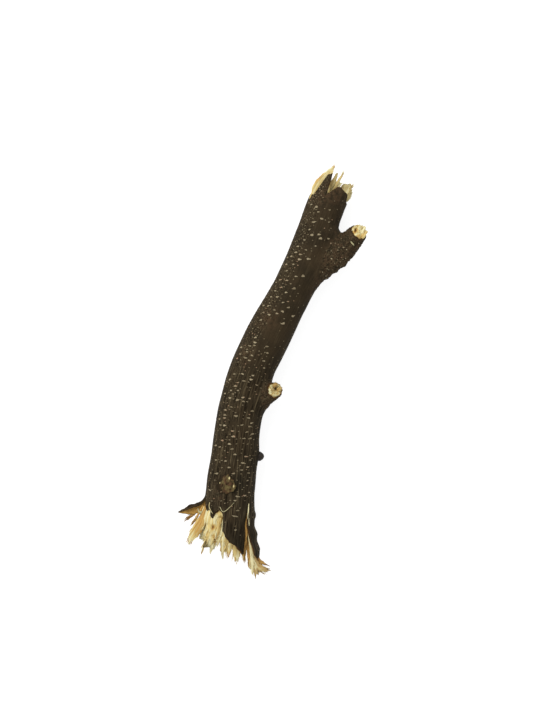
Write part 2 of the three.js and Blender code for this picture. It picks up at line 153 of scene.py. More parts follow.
class Limb:
    """A smooth line through stations, with a radius."""

    def __init__(self, stations, bark):
        self.stations = np.array(stations, float)
        self.bark = bark
        self.length = (self.stations[0, 0], self.stations[-1, 0])

    def read(self, along):
        """x, y, z and radius at any distances along."""
        at = self.stations[:, 0]
        last = len(at) - 1
        right = np.clip(np.searchsorted(at, along, side="right"), 1, last)
        left = right - 1
        before = np.where(left > 0, left - 1, right)
        after = np.where(right < last, right + 1, left)
        step = at[right] - at[left]
        pull_before = 0.5 * step / (at[left] - at[before])
        pull_after = 0.5 * step / (at[after] - at[right])
        share = (along - at[left]) / step
        square, cube = share**2, share**3
        weights = (
            (before, pull_before * (-cube + 2 * square - share)),
            (left, (1 + pull_before) * cube - (1.5 + 2 * pull_before) * square
                + (pull_before - 0.5) * share + 1),
            (right, -(1 + pull_after) * cube + (1.5 + pull_after) * square + 0.5 * share),
            (after, pull_after * (cube - square)),
        )
        return sum(self.stations[place, 1:] * weight[..., None] for place, weight in weights)

    def axes(self, along):
        """Centre, radius, and the directions ahead, to the side and up at any distances along."""
        here = self.read(along)
        ahead = direction(self.read(along + 0.5)[..., :3] - self.read(along - 0.5)[..., :3])
        side = direction(np.cross(ahead, UP))
        return here[..., :3], here[..., 3], ahead, side, np.cross(side, ahead)

    def place(self, along, degrees, radius):
        """The place at a distance along, an angle round and a radius, and the way out from there."""
        centre, _, _, side, top = self.axes(along)
        turn = np.radians(degrees)
        out = side * np.sin(turn)[..., None] + top * np.cos(turn)[..., None]
        return centre + out * np.asarray(radius)[..., None], out

    def find(self, places):
        """The distance along, the angle round and the distance out of any places."""
        line = self.stations[:, 1:4]
        nearest = np.linalg.norm(places[:, None] - line[None], axis=2).argmin(axis=1)
        along = self.stations[nearest, 0].copy()
        for _ in range(8):
            centre, _, ahead, side, top = self.axes(along)
            off = places - centre
            along = np.clip(along + (off * ahead).sum(axis=1), *self.length)
        beyond = np.abs((off * ahead).sum(axis=1))
        out = np.sqrt((off * side).sum(axis=1) ** 2 + (off * top).sum(axis=1) ** 2 + beyond**2)
        degrees = np.degrees(np.arctan2((off * side).sum(axis=1), (off * top).sum(axis=1)))
        return along, degrees, out


stem = Limb([(y, x, y, radius + lift, radius) for y, x, lift, radius in STEM_STATIONS], bark=1.4)
side_branch = Limb(SIDE_STATIONS, bark=1.0)
twig = Limb(TWIG_STATIONS, bark=0.8)
print("stem radius at mid length", round(float(stem.read(np.array([0.0]))[0, 3]), 2), "mm")

# %% [markdown]
# ## The form of the stem
# The stem swells under the side branch, the twig and the bud, and at old scars. At the thick end a
# strip of bark has split off along a crack and stands away from the stem. Sculpted swellings would be
# hard to move, so each one is a row of a table: where it is, its height and how far it spreads.

# %% Swellings and the split strip
# Distance along, degrees round, height, half length, half spread in degrees
SWELLINGS = [
    (70, 84, 0.9, 10, 44),  # collar under the side branch
    (84.5, 78, 4.6, 3.8, 34),  # ridge of bark in the crotch
    (-21, 66, 2.2, 10, 38),  # collar under the twig stub
    (24, -18, 0.7, 7, 28),  # old bud scars
    (0, -36, 0.8, 6, 22),
    (-57, 88, 0.8, 6, 24),  # cushion under the bud
    (38, 150, 0.9, 12, 40),
    (-38, 215, 1.0, 14, 40),
    (8, 110, 0.6, 16, 40),
    (-92.5, 92, 0.9, 2.2, 30),  # knuckles on the split strip
    (-103, 92, 1.1, 2.4, 30),
]
SIDE_SWELLINGS = [(37.5, 92, 0.6, 1.5, 30), (31.5, 92, 0.7, 1.5, 34), (25.5, 96, 0.9, 1.7, 34)]  # knuckles
# How far the strip stands off, at distances along
STRIP_OUT_AT = (-130.0, -111.5, -107.5, -104.0, -99.0, -88.0, -80.0)
STRIP_OUT = (13.0, 7.4, 5.1, 3.8, 2.4, 1.0, 0.0)
STRIP_MIDDLE = 88.0
STRIP_SPREAD = 34.0
CRACK_ROUND = 53.4
CRACK_TOP = -87.0
CRACK_HALF = 0.2  # degrees, half the width of the slit
# Degrees by which the crack leans, at distances along
CRACK_LEAN_AT = (-116.0, -106.0, -98.0, -92.0, -87.0)
CRACK_LEAN = (6.0, 2.0, -3.5, -3.5, 0.0)


def apart(a, b):
    """How many degrees two angles are apart."""
    return np.abs((a - b + 180) % 360 - 180)


def smooth(value, low, high):
    """0 below low, 1 above high, and a soft step between them."""
    share = np.clip((value - low) / (high - low), 0, 1)
    return share * share * (3 - 2 * share)


def bell(value):
    return np.exp(-value * value)


def crack_lean(along, degrees):
    """The crack is not quite straight: the bark on both sides of it leans to one side and back."""
    return np.interp(along, CRACK_LEAN_AT, CRACK_LEAN) * bell((degrees - CRACK_ROUND) / 9)


def strip_out(along, degrees):
    """How far the split strip stands off. Along the crack it leaves the stem in one sharp step."""
    off = np.interp(along, STRIP_OUT_AT, STRIP_OUT)
    far_side = 1 - smooth(apart(degrees, STRIP_MIDDLE) / STRIP_SPREAD, 0.85, 1.3)
    crack = CRACK_ROUND + np.interp(along, CRACK_LEAN_AT, CRACK_LEAN)
    half_step = CRACK_HALF + 8 * smooth(along, CRACK_TOP, CRACK_TOP + 8)
    crack_side = smooth(degrees, crack - half_step, crack + half_step)
    return off * np.where(apart(degrees, crack) < 30, crack_side, far_side)


def swelling(table, along, degrees):
    return sum(
        height * bell((along - at) / length) * bell(apart(degrees, round_) / spread)
        for at, round_, height, length, spread in table
    )


def stem_radius(along, degrees):
    return stem.read(along)[..., 3] + strip_out(along, degrees) + swelling(SWELLINGS, along, degrees)


def side_radius(along, degrees):
    return side_branch.read(along)[..., 3] + swelling(SIDE_SWELLINGS, along, degrees)


def twig_radius(along, degrees):
    return twig.read(along)[..., 3]


RADIUS = {stem: stem_radius, side_branch: side_radius, twig: twig_radius}
print("the strip stands off", strip_out(np.array([-111.0]), np.array([STRIP_MIDDLE])).round(1), "mm")

# %% [markdown]
# ## Bark that grows together at a fork
# Two tubes that cross leave a hard crease, and a boolean union would keep it, but bark flows from a
# stem into its branch. Each point of one skin is therefore pushed out until it lies on a rounded union
# of both limbs. Past the crease, where the other limb carries the surface, the point dives under it.

# %% The rounded union
FILLET = {side_branch: 5.0, twig: 3.6}  # how far from the crease the skins start to flow together
DIVE = 1.2


def height_over(limb, places):
    along, degrees, out = limb.find(places)
    return out - RADIUS[limb](along, degrees)


def flow_together(limb, places, outward):
    """Pushes places on one limb's skin out to its rounded union with the limbs that it meets."""
    others = [side_branch, twig] if limb is stem else [stem]
    pushed = np.zeros(len(places))
    for other in others:
        reach = FILLET[other if limb is stem else limb]
        near = height_over(other, places) < reach
        if not near.any():
            continue
        start, way, push = places[near], outward[near], np.zeros(near.sum())
        for _ in range(6):
            now = start + way * push[:, None]
            mine, theirs = height_over(limb, now), height_over(other, now)
            blend = np.clip(reach - np.abs(mine - theirs), 0, None) / reach
            push = np.clip(push - (np.minimum(mine, theirs) - blend**2 * reach / 4), 0, reach / 2)
        push -= DIVE * smooth(mine - theirs, 0.1, 1.6)
        pushed[near] = np.where(np.abs(push) > np.abs(pushed[near]), push, pushed[near])
    return pushed


print("fillets", [FILLET[limb] for limb in (side_branch, twig)], "mm")

# %% [markdown]
# ## The relief of the bark
# Young bark is nearly smooth: low lumps, fine ridges that run lengthwise, and wrinkles where it has
# been squeezed, in the crotch, round the twig and below the knot. Two old bud scars show as a ring
# and a bent ridge. The relief is noise in the straight limb's own space, so it has no seam.

# %% Relief
LUMPS = (0.30, 13.0)  # height, size
RIDGES = (0.13, 1.5, 16.0)  # height, size round, size along
WRINKLES = (0.34, 3.4, 1.6)
# Distance along, degrees round, half length, half spread in degrees
WRINKLED = [(82, 70, 12, 40), (62, 88, 14, 34), (-22, 70, 8, 34), (-84, -8, 10, 26), (104, 10, 7, 60)]
RING_SCAR = (24.0, -18.0, 2.6)  # along, degrees, radius
BENT_SCAR = (0.0, -36.0, 4.6)


def straight(along, degrees, radius):
    """Places on the straight limb."""
    turn = np.radians(degrees)
    return np.stack([radius * np.sin(turn), along + 0 * turn, radius * np.cos(turn)], axis=-1)


def noise_at(places, size, start=0.0):
    """Smooth noise from -1 to 1, with lumps of a size given for each axis."""
    scaled = places / np.array(size) + start
    values = [noise.noise(Vector(place)) for place in scaled.reshape(-1, 3)]
    return np.array(values).reshape(places.shape[:-1])


def zone(along, degrees, middle, round_, length, spread):
    return bell((along - middle) / length) * bell(apart(degrees, round_) / spread)


def ring_scar(along, degrees, radius):
    far = np.hypot(along - RING_SCAR[0], np.radians(degrees - RING_SCAR[1]) * radius)
    return 0.55 * bell((far - RING_SCAR[2]) / 0.8) - 0.45 * bell(far / 1.5)


def bent_scar(along, degrees, radius):
    aside = np.radians(degrees - BENT_SCAR[1]) * radius
    bent = along - BENT_SCAR[0] + 0.55 * np.abs(aside)
    ridge = 0.5 * bell(bent / 0.8) * bell(aside / BENT_SCAR[2])
    return ridge - 0.4 * bell(bent + 1.7) * bell(aside / 3)


def relief(limb, along, degrees, radius):
    """The height of the bark's own relief."""
    places = straight(along, degrees, radius)
    height, size = LUMPS
    total = height * noise_at(places, (size, size, size), 3.1)
    height, size, length = RIDGES
    total += height * noise_at(places, (size, length, size), 7.7)
    height, length, size = WRINKLES
    creased = height * (1 - 2 * np.abs(noise_at(places, (length, size, length), 1.3)))
    if limb is stem:
        squeezed = np.clip(sum(zone(along, degrees, *area) for area in WRINKLED), 0, 1)
        total += ring_scar(along, degrees, radius) + bent_scar(along, degrees, radius)
    else:
        squeezed = 1.25
    return total + creased * squeezed


def skin(limb, along, degrees, raised=0.0):
    """Finished places on the bark, raised by a height."""
    radius = RADIUS[limb](along, degrees)
    places, outward = limb.place(along, degrees, radius)
    push = flow_together(limb, places, outward)
    height = push + relief(limb, along, degrees, radius) + raised
    places = places + outward * height[:, None]
    places[:, 2] = np.maximum(places[:, 2], 0)
    return places


# Distance along, degrees round, half length, half spread in degrees, share
RUSSET_AREAS = [
    (24, -18, 6, 24, 0.9), (0, -36, 6, 24, 0.9), (-81, -24, 6, 14, 0.8),
    (103, -22, 7, 22, 0.7), (108, 18, 6, 34, 1.0), (80, 78, 14, 36, 0.9), (60, 88, 12, 34, 0.9),
    (-20, 68, 8, 32, 0.9), (-100, 88, 14, 30, 0.5),
]
# A painted shadow to the right of the knot's raised edge, and darker patches by the crack at the thick end
# and beside the crotch
SHADOW_AND_DARK_AREAS = [(-75, 20, 9, 13, 1.0), (-112, 40, 8, 40, 0.5), (92, 58, 8, 30, 0.3)]


def areas(table, along, degrees):
    return np.clip(sum(share * zone(along, degrees, *area) for *area, share in table), 0, 1)


def tints(limb, along, degrees):
    """Shares from 0 to 1 of the right side's green and painted shade, of russet, of fine specks and of
    lengthwise lines.
    """
    if limb is not stem:
        plain = np.ones(len(along))
        return {"dark": 0.15 * plain, "russet": 0.8 * plain, "fine": 0.8 * plain, "lined": 0.5 * plain}
    lower = smooth(-along, -15, 25)
    left = smooth(86 - apart(degrees, -92), 0, 26)
    # Painted shade: the right side, more on the lower half, is darker and greener, partly the bark's own
    # colour.
    dark = (0.2 + 0.65 * lower) * smooth(degrees, 0, 70) + areas(SHADOW_AND_DARK_AREAS, along, degrees)
    return {
        "dark": np.clip(dark, 0, 1), "russet": areas(RUSSET_AREAS, along, degrees),
        "fine": left * (1 - 0.55 * lower) + 0.12, "lined": 0.25 + 0.75 * lower}


print("relief at one place", relief(stem, np.array([20.0]), np.array([-60.0]), np.array([13.0])).round(2))

# %% [markdown]
# ## A tube with a wall, from a flat sheet
# Bark is a tube with a thick wall and two torn ends. It starts as a flat grid. One side of the grid is
# wrapped round the limb, and the other runs up the outside, over the torn edge, down the inside and
# over the other torn edge, so both seams meet themselves. Merging the doubles then closes the tube.

# %% Helpers for meshes
def alone():
    bpy.ops.object.select_all(action="DESELECT")


def pick(piece):
    """Selects one piece and nothing else."""
    alone()
    piece.select_set(True)
    bpy.context.view_layer.objects.active = piece


def set_places(piece, places):
    piece.data.vertices.foreach_set("co", (places * MM).astype(np.float32).ravel())
    piece.data.update()


def keep(piece, name, values):
    """Stores a value or a vector at each vertex for the materials to read."""
    kind = "FLOAT_VECTOR" if values.ndim == 2 else "FLOAT"
    layer = piece.data.attributes.new(name, kind, "POINT")
    layer.data.foreach_set("vector" if values.ndim == 2 else "value", values.astype(np.float32).ravel())


def close_and_face_out(piece):
    """Merges the seams, turns faces outwards and shades them smooth."""
    pick(piece)
    bpy.ops.object.mode_set(mode="EDIT")
    bpy.ops.mesh.select_all(action="SELECT")
    bpy.ops.mesh.remove_doubles(threshold=1e-6)
    bpy.ops.mesh.normals_make_consistent(inside=False)
    bpy.ops.object.mode_set(mode="OBJECT")
    bpy.ops.object.shade_smooth()


# %% The rows and columns of the flat sheet
def grid_step(piece, axis, count):
    """Which step of a flat grid each vertex is on, along one axis."""
    flat = np.empty(len(piece.data.vertices) * 3, np.float32)
    piece.data.vertices.foreach_get("co", flat)
    flat = flat.reshape(-1, 3)[:, axis]
    return np.rint((flat - flat.min()) / np.ptp(flat) * count).astype(int)


def spread_round(count, crowded, exact=()):
    """Angles round the limb, closer together where there is more to show, with some exact ones."""
    fine = np.linspace(-180, 180, 3601)
    density = np.ones(len(fine)) + sum(extra * bell(apart(fine, at) / width) for at, width, extra in crowded)
    total = np.concatenate([[0], np.cumsum((density[1:] + density[:-1]) / 2)])
    angles = np.interp(np.arange(count) / count * total[-1], total, fine)
    clear = [angle for angle in angles if all(abs(angle - at) > 0.3 for at in exact)]
    return np.array(sorted([*clear, *exact]))


print("eight even columns are at", spread_round(8, []).round().astype(int), "degrees")

# %% [markdown]
# ## Opening the crack
# The split strip needs a gap that goes right through the bark. A boolean cut would leave long thin
# faces, so two columns of the sheet lie on the crack: the faces between them are taken out, and the two
# sides are joined from the outside to the inside.

# %% Crack
def split(tube, angles, section, columns, top):
    """Opens the bark along a crack, from its lower torn end up to a share, and gives the crack walls."""
    shell = bmesh.new()
    shell.from_mesh(tube.data)
    shell.verts.ensure_lookup_table()
    step = len(angles) + 1
    outer = [n for n, (share, depth) in enumerate(section) if depth == 0 and share <= top]
    inner = [n for n, (share, depth) in enumerate(section) if depth == 1 and share <= top][::-1]
    rim = len(section) - 1
    left, right = columns
    gone = [(a, a + 1) for a in outer[:-1]] + [(b, a) for a, b in zip(inner, inner[1:])]
    gone += [(inner[0], rim), (rim, len(section))]
    for low, high in gone:
        corners = {shell.verts[row * step + column] for row in (low, high) for column in columns}
        face = next(f for f in shell.verts[low * step + left].link_faces if set(f.verts) == corners)
        shell.faces.remove(face)
    for column in columns:
        for low, high, low_in, high_in in zip(outer, outer[1:], inner, inner[1:]):
            shell.faces.new([shell.verts[row * step + column] for row in (low, high, high_in, low_in)])
        shell.faces.new([shell.verts[row * step + column] for row in (outer[0], inner[0], rim)])
    shell.faces.new([shell.verts[row * step + column] for row, column in (
        (outer[-1], left), (outer[-1], right), (inner[-1], right), (inner[-1], left))])
    shell.to_mesh(tube.data)
    shell.free()


print("the slit is", 2 * CRACK_HALF, "degrees wide")

# %% Bark tube
BESIDE_EDGE = 3  # mm past a torn edge that its closer rings still cover
EDGE_REACH = 0.15  # share over which the inside of a torn edge is drawn out
EDGE_OUT = (0.7, 1.2)  # how far it is drawn out, and how much that varies
EDGE_LUMPS = (2.2, 1, 2.2)


def bark_tube(name, limb, angles, rows, edge_rows, lower, upper, lean=None, crack_top=None):
    """A limb's bark. rows has the shares of the length at which there is a ring outside, and edge_rows
    the same for the inside. lower and upper give the torn ends at an angle."""
    outside = [(share, 0.0) for share in rows]
    inside = [(share, 1.0) for share in edge_rows[::-1]]
    section = outside + [(rows[-1], 0.5)] + inside + [(rows[0], 0.5)]
    alone()
    bpy.ops.mesh.primitive_grid_add(x_subdivisions=len(angles), y_subdivisions=len(section), size=0.02)
    tube = bpy.context.active_object
    tube.name = name
    across, up = (grid_step(tube, axis, count) for axis, count in ((0, len(angles)), (1, len(section))))
    round_ = angles[across % len(angles)]
    share, depth = np.array(section)[up % len(section)].T
    low, high = lower(round_), upper(round_)
    middle_low, middle_high = low.max() + BESIDE_EDGE, high.min() - BESIDE_EDGE
    along = np.where(
        share < 1, low + (middle_low - low) * share,
        np.where(share > 2, middle_high + (high - middle_high) * (share - 2),
                 middle_low + (middle_high - middle_low) * (share - 1)))
    at_end = np.maximum(bell(share / EDGE_REACH), bell((share - 3) / EDGE_REACH))
    ragged = noise_at(straight(share, round_, ABOUT_RADIUS), EDGE_LUMPS, 5.0)
    drawn_out = at_end * depth * (EDGE_OUT[0] + EDGE_OUT[1] * ragged)
    along = along + np.where(share < 1.5, -1, 1) * drawn_out
    if lean is not None:
        round_ = round_ + lean(along, round_)
    outer = depth < 0.75
    places = np.empty((len(along), 3))
    places[outer] = skin(limb, along[outer], round_[outer], -depth[outer] * limb.bark)
    hollow = limb.read(along)[:, 3] + (strip_out(along, round_) if limb is stem else 0) - limb.bark
    places[~outer] = limb.place(along[~outer], round_[~outer], hollow[~outer])[0]
    places[:, 2] = np.maximum(places[:, 2], 0.02 * depth)
    set_places(tube, places)
    keep(tube, "grain", straight(along, round_, limb.read(along)[:, 3]) * MM)
    keep(tube, "depth", depth)
    for tint, strength in tints(limb, along, round_).items():
        keep(tube, tint, strength)
    if crack_top is not None:
        left = int(np.argmin(np.abs(angles - CRACK_ROUND + CRACK_HALF)))
        split(tube, angles, section, (left, left + 1), crack_top)
    close_and_face_out(tube)
    return tube


print("the bark is", [limb.bark for limb in (stem, side_branch, twig)], "mm thick")

# %% [markdown]
# ## The stem's bark
# This is the dark skin of the branch. The torn edges follow the photograph: a long bright window on the
# upper left of the thick end, a wedge that comes to a point beside the crack, and a blunt tongue at the
# thin end. They are tables of distances at an angle, which is easier to read than a cutting shape.

# %% Torn edges of the stem
# Degrees round, distance along at which the bark ends there
STEM_LOWER_TEAR = [
    (-90, -84.5), (-78, -86.5), (-66, -91.0), (-50, -93.6), (-40, -96.0), (-36, -96.0), (-31, -92.6),
    (-22, -91.0), (-14, -91.2), (-9, -94.0), (-7, -103.0), (3, -105.4), (13, -107.6), (21, -109.3),
    (32, -110.2), (45, -112.2), (53.2, -115.0), (53.6, -113.8), (62, -115.6), (71, -115.8), (78, -113.5),
    (82, -112.0), (94, -111.8), (102, -107.0), (114, -103.5), (128, -98.0), (142, -95.0), (155, -100.5),
    (172, -94.5), (190, -98.0), (207, -91.5), (225, -95.0), (245, -87.5), (258, -89.5),
]
STEM_UPPER_TEAR = [
    (-90, 101.4), (-78, 103.2), (-66, 104.0), (-56, 102.2), (-52, 104.6), (-46, 107.6), (-38, 113.0),
    (-30, 117.4), (-21, 118.2), (-17, 115.0), (-14.5, 110.0), (-13, 105.6), (-8, 106.8), (1, 108.8),
    (9, 111.1), (19, 112.3), (32, 112.1), (46, 111.0), (58, 110.6), (64, 106.8), (72, 105.6),
    (82, 106.0), (94, 105.4), (110, 107.5), (130, 111.0), (148, 107.0), (168, 112.0), (190, 106.0),
    (212, 109.5), (232, 102.5), (252, 105.0),
]
RAGGED = 0.45  # height of the small teeth
TEETH_SIZES = (0.16, 0.05)


def torn_at(table, degrees):
    """The distance along at which the bark ends, at an angle."""
    return np.interp(degrees, *zip(*table), period=360)


def torn(table, seed):
    """A torn end: the table's distances at an angle, with small teeth."""
    def edge(degrees):
        turn = np.radians(degrees)
        teeth = np.stack([np.cos(turn), np.sin(turn), 0 * turn], axis=-1)
        large, small = (noise_at(teeth, (size, size, 1), seed) for size in TEETH_SIZES)
        return torn_at(table, degrees) + RAGGED * large + 0.6 * RAGGED * small
    return edge


print("on top the bark ends at", torn_at(STEM_LOWER_TEAR, 0), "and", torn_at(STEM_UPPER_TEAR, 0).round(1))

# %% Stem bark
STEM_AROUND = 176
# Degrees round, half width and extra density where the columns are closer together
CROWDED = [(CRACK_ROUND, 5, 1.5), (-8, 8, 1.5), (-25, 8, 1.0)]
CRACK_COLUMNS = (CRACK_ROUND - CRACK_HALF, CRACK_ROUND + CRACK_HALF)
CRACK_TOP_SHARE = 0.83


def shares(first, middle, last):
    """Shares of the length from 0 to 3 with a number of rings at the first end, between, and at the last."""
    return np.concatenate([
        np.linspace(0, 1, first, endpoint=False), np.linspace(1, 2, middle, endpoint=False),
        np.linspace(2, 3, last)])


stem_bark = bark_tube(
    "stem_bark_skin", stem, spread_round(STEM_AROUND, CROWDED, CRACK_COLUMNS),
    shares(44, 290, 34), shares(44, 8, 14), torn(STEM_LOWER_TEAR, 2.0), torn(STEM_UPPER_TEAR, 4.0),
    crack_lean, CRACK_TOP_SHARE)
print(stem_bark.name, len(stem_bark.data.polygons), "faces")

# %% [markdown]
# ## The bark of the side branch and the twig
# The broken side branch and the twig stub have thinner bark. They could be modelled with the stem as one
# skin, but as tubes of the same kind they keep their own lines. They start inside the stem, and their
# skins flow into the stem's.

# %% Side branch bark and twig bark
SIDE_TEAR = [
    (-90, 56.6), (-45, 55.6), (0, 55.0), (30, 54.6), (60, 55.6), (90, 57.4), (120, 58.2), (160, 59.0),
    (200, 58.6), (235, 57.8),
]
TWIG_TEAR = [
    (-90, 22.4), (-45, 21.0), (0, 20.2), (45, 20.8), (90, 22.6), (135, 24.2), (180, 25.0), (225, 24.0),
]


def starts_at(along):
    return lambda degrees: np.full(len(degrees), float(along))


side_bark = bark_tube(
    "side_branch_bark_skin", side_branch, spread_round(84, []), shares(4, 90, 16), shares(2, 6, 10),
    starts_at(8), torn(SIDE_TEAR, 6.0))
twig_bark = bark_tube(
    "twig_stub_bark_skin", twig, spread_round(72, []), shares(3, 34, 14), shares(2, 4, 8),
    starts_at(3), torn(TWIG_TEAR, 8.0))
print(len(side_bark.data.polygons), "and", len(twig_bark.data.polygons), "faces")

# %% [markdown]
# ## Wood from a ball
# The pale wood fills the bark and shows at each break. A cylinder would do for it, but its caps are flat
# fans. A ball has two poles and no seam, and its rings near the poles can be folded into rough breaks.
# The ball's height becomes the distance along the wood, and its width becomes the section.

# %% Ball patterns
def ball(name, segments, rings):
    """A ball, with each vertex's share of the way from pole to pole, its angle round and its width."""
    alone()
    bpy.ops.mesh.primitive_uv_sphere_add(segments=segments, ring_count=rings, radius=1)
    piece = bpy.context.active_object
    piece.name = name
    unit = np.empty(len(piece.data.vertices) * 3, np.float32)
    piece.data.vertices.foreach_get("co", unit)
    unit = unit.reshape(-1, 3).astype(float)
    share = 1 - np.arccos(np.clip(unit[:, 2], -1, 1)) / math.pi
    width = (np.hypot(unit[:, 0], unit[:, 1]) > 1e-4).astype(float)
    return piece, share, np.arctan2(unit[:, 0], unit[:, 1]), width


# Holes seen in the torn wood: x, y and half sizes
HOLES = [
    (-8.3, -102.6, 1.1, 1.8), (-5.3, -110.8, 0.5, 0.8), (-6.5, -107.9, 0.4, 0.9),
    (17.3, 90.3, 0.7, 1.1), (15.2, 88.9, 0.8, 0.6), (1.2, -13.6, 0.7, 0.9),
]


def hollows(places):
    """How much of a place is in a hole."""
    return sum(
        bell((places[:, 0] - x) / across) * bell((places[:, 1] - y) / along)
        for x, y, across, along in HOLES)


print(len(HOLES), "holes")

# %% Wood core
CORE_CLEARANCE = 0.25  # kept between the wood and the bark
TUFTS = (2.4, 1.1, 30.0)  # height, size across, size along
STEPS = (2.2, 3.6, 60.0)
GROOVES = (0.25, 0.9, 14.0)
CORE_TONE = 0.30
CORE_PATCHES = (1.6, 25, 1.6)
HOLE_DEPTH = 1.6
HOLE_TONE = 1.5  # how much browner a hole is


def wood_core(name, limb, segments, rings, lower, upper, patchy=0.4, aged=0.0):
    """The wood inside a limb's bark. lower and upper give the break at an angle and a share of the
    radius. A third of the rings makes each break. patchy is how much its tone varies."""
    core, share, turn, _ = ball(name, segments, rings)
    degrees = np.degrees(turn)
    inward = np.clip(np.minimum(share, 1 - share) * 3, 0, 1)
    low, high = lower(degrees, inward), upper(degrees, inward)
    along = low + (high - low) * np.clip(share * 3 - 1, 0, 1)
    radius = limb.read(along)[:, 3] - limb.bark - CORE_CLEARANCE
    places = straight(along, degrees, radius * inward)
    break_ = np.where(share < 0.5, -1, 1) * (inward < 0.999)
    height, size, length = TUFTS
    tufts = np.abs(noise_at(places, (size, length, size), 2.0)) * height
    height, size, length = STEPS
    tufts += noise_at(places, (size, length, size), 4.0) * height
    along = along + break_ * tufts * (limb.bark / stem.bark)
    height, size, length = GROOVES
    grooves = height * noise_at(places, (size, length, size), 6.0)
    laid, _ = limb.place(along, degrees, radius * inward + grooves * inward)
    hole = hollows(laid) * (inward < 1)
    laid[:, 2] = np.maximum(laid[:, 2] - HOLE_DEPTH * hole, 0.3)
    set_places(core, laid)
    keep(core, "grain", places * MM)
    keep(core, "tone", CORE_TONE + patchy * noise_at(places, CORE_PATCHES, 9.0) + HOLE_TONE * hole)
    keep(core, "aged", np.full(len(along), aged))
    close_and_face_out(core)
    return core


def broken(table, middle):
    """A break that follows a table on its rim and eases to one value in the middle."""
    at = [entry[0] for entry in table]
    reach = [entry[1] for entry in table]
    return lambda degrees, inward: middle + (np.interp(degrees, at, reach, period=360) - middle) * inward


def sawn(along):
    """A flat end, hidden inside the stem."""
    return lambda degrees, inward: np.full(len(degrees), float(along))


# %% Wood cores
STEM_LOWER_BREAK = [
    (-90, -91), (-60, -92), (-30, -93), (-12, -94), (0, -103), (30, -106), (50, -98), (75, -100),
    (100, -104), (140, -102), (180, -98), (220, -97),
]
STEM_UPPER_BREAK = [
    (-90, 108), (-50, 112), (-20, 112), (0, 105), (40, 105), (70, 106), (100, 109), (150, 110),
    (190, 109), (230, 106),
]
SIDE_BREAK = [(-90, 58.0), (0, 56.2), (60, 56.6), (110, 59.0), (180, 60.4), (230, 59.8)]
TWIG_BREAK = [(-90, 23.2), (0, 21.2), (90, 23.4), (180, 25.8)]

stem_core = wood_core(
    "stem_wood_core", stem, 120, 120, broken(STEM_LOWER_BREAK, -99), broken(STEM_UPPER_BREAK, 104))
side_core = wood_core("side_branch_wood_core", side_branch, 64, 72, sawn(4), broken(SIDE_BREAK, 58.4))
twig_core = wood_core("twig_stub_wood_core", twig, 72, 72, sawn(2), broken(TWIG_BREAK, 22.8), 1.1, 0.45)
print("cores", [len(core.data.polygons) for core in (stem_core, side_core, twig_core)], "faces")

# %% [markdown]
# ## Splinters
# Torn wood parts along its fibres, so each splinter is long, thin and ragged at its tip. One ball is
# the pattern for all of them: each copy is laid along its own line, given a width at every stop, folded
# into ridges that run lengthwise, and given teeth at its tip. The blades below follow the shapes in the
# photograph. Fine fibres then leave their tips and edges.

# %% Patterns and lines of splinters
def pattern(segments, rings):
    """Faces of a ball and where its vertices are on it, to be copied many times."""
    piece, share, turn, width = ball("pattern", segments, rings)
    faces = [list(face.vertices) for face in piece.data.polygons]
    bpy.data.objects.remove(piece)
    return faces, share, turn, width


LARGE = pattern(30, 46)
SMALL = pattern(6, 9)


def read_at(share, at, rows):
    """Rows of values read at any shares, with straight steps between the rows."""
    return np.stack([np.interp(share, at, column) for column in rows.T], axis=1)


def smoothed(stops, count, times):
    """Stops spread over a number of points, which are then evened out. The ends stay."""
    stops = np.array(stops, float)
    line = read_at(np.linspace(0, 1, count), np.linspace(0, 1, len(stops)), stops)
    for _ in range(times):
        line[1:-1] = (line[:-2] + 2 * line[1:-1] + line[2:]) / 4
    return line


def smooth_line(stops, share):
    """A smooth line through stops, and its way ahead, at any shares of its length."""
    line = smoothed(stops, 120, 40)
    fine = np.linspace(0, 1, len(line))
    return read_at(share, fine, line), direction(read_at(share, fine, np.gradient(line, axis=0)[:, :3]))


print("the patterns have", len(LARGE[0]), "and", len(SMALL[0]), "faces")

# %% A splinter
EDGE_WAVES = ((0.08, 17), (0.06, 41))  # height and pace of the waves of its edges
FOLDS = ((1.3, 9.0, 1), (0.6, 4.0, 1))  # sizes of its ridges and of the finer ones
TEETH = ((1.0, 3.7), (0.8, 8.3), (0.5, 19))  # height and pace of the teeth at its tip


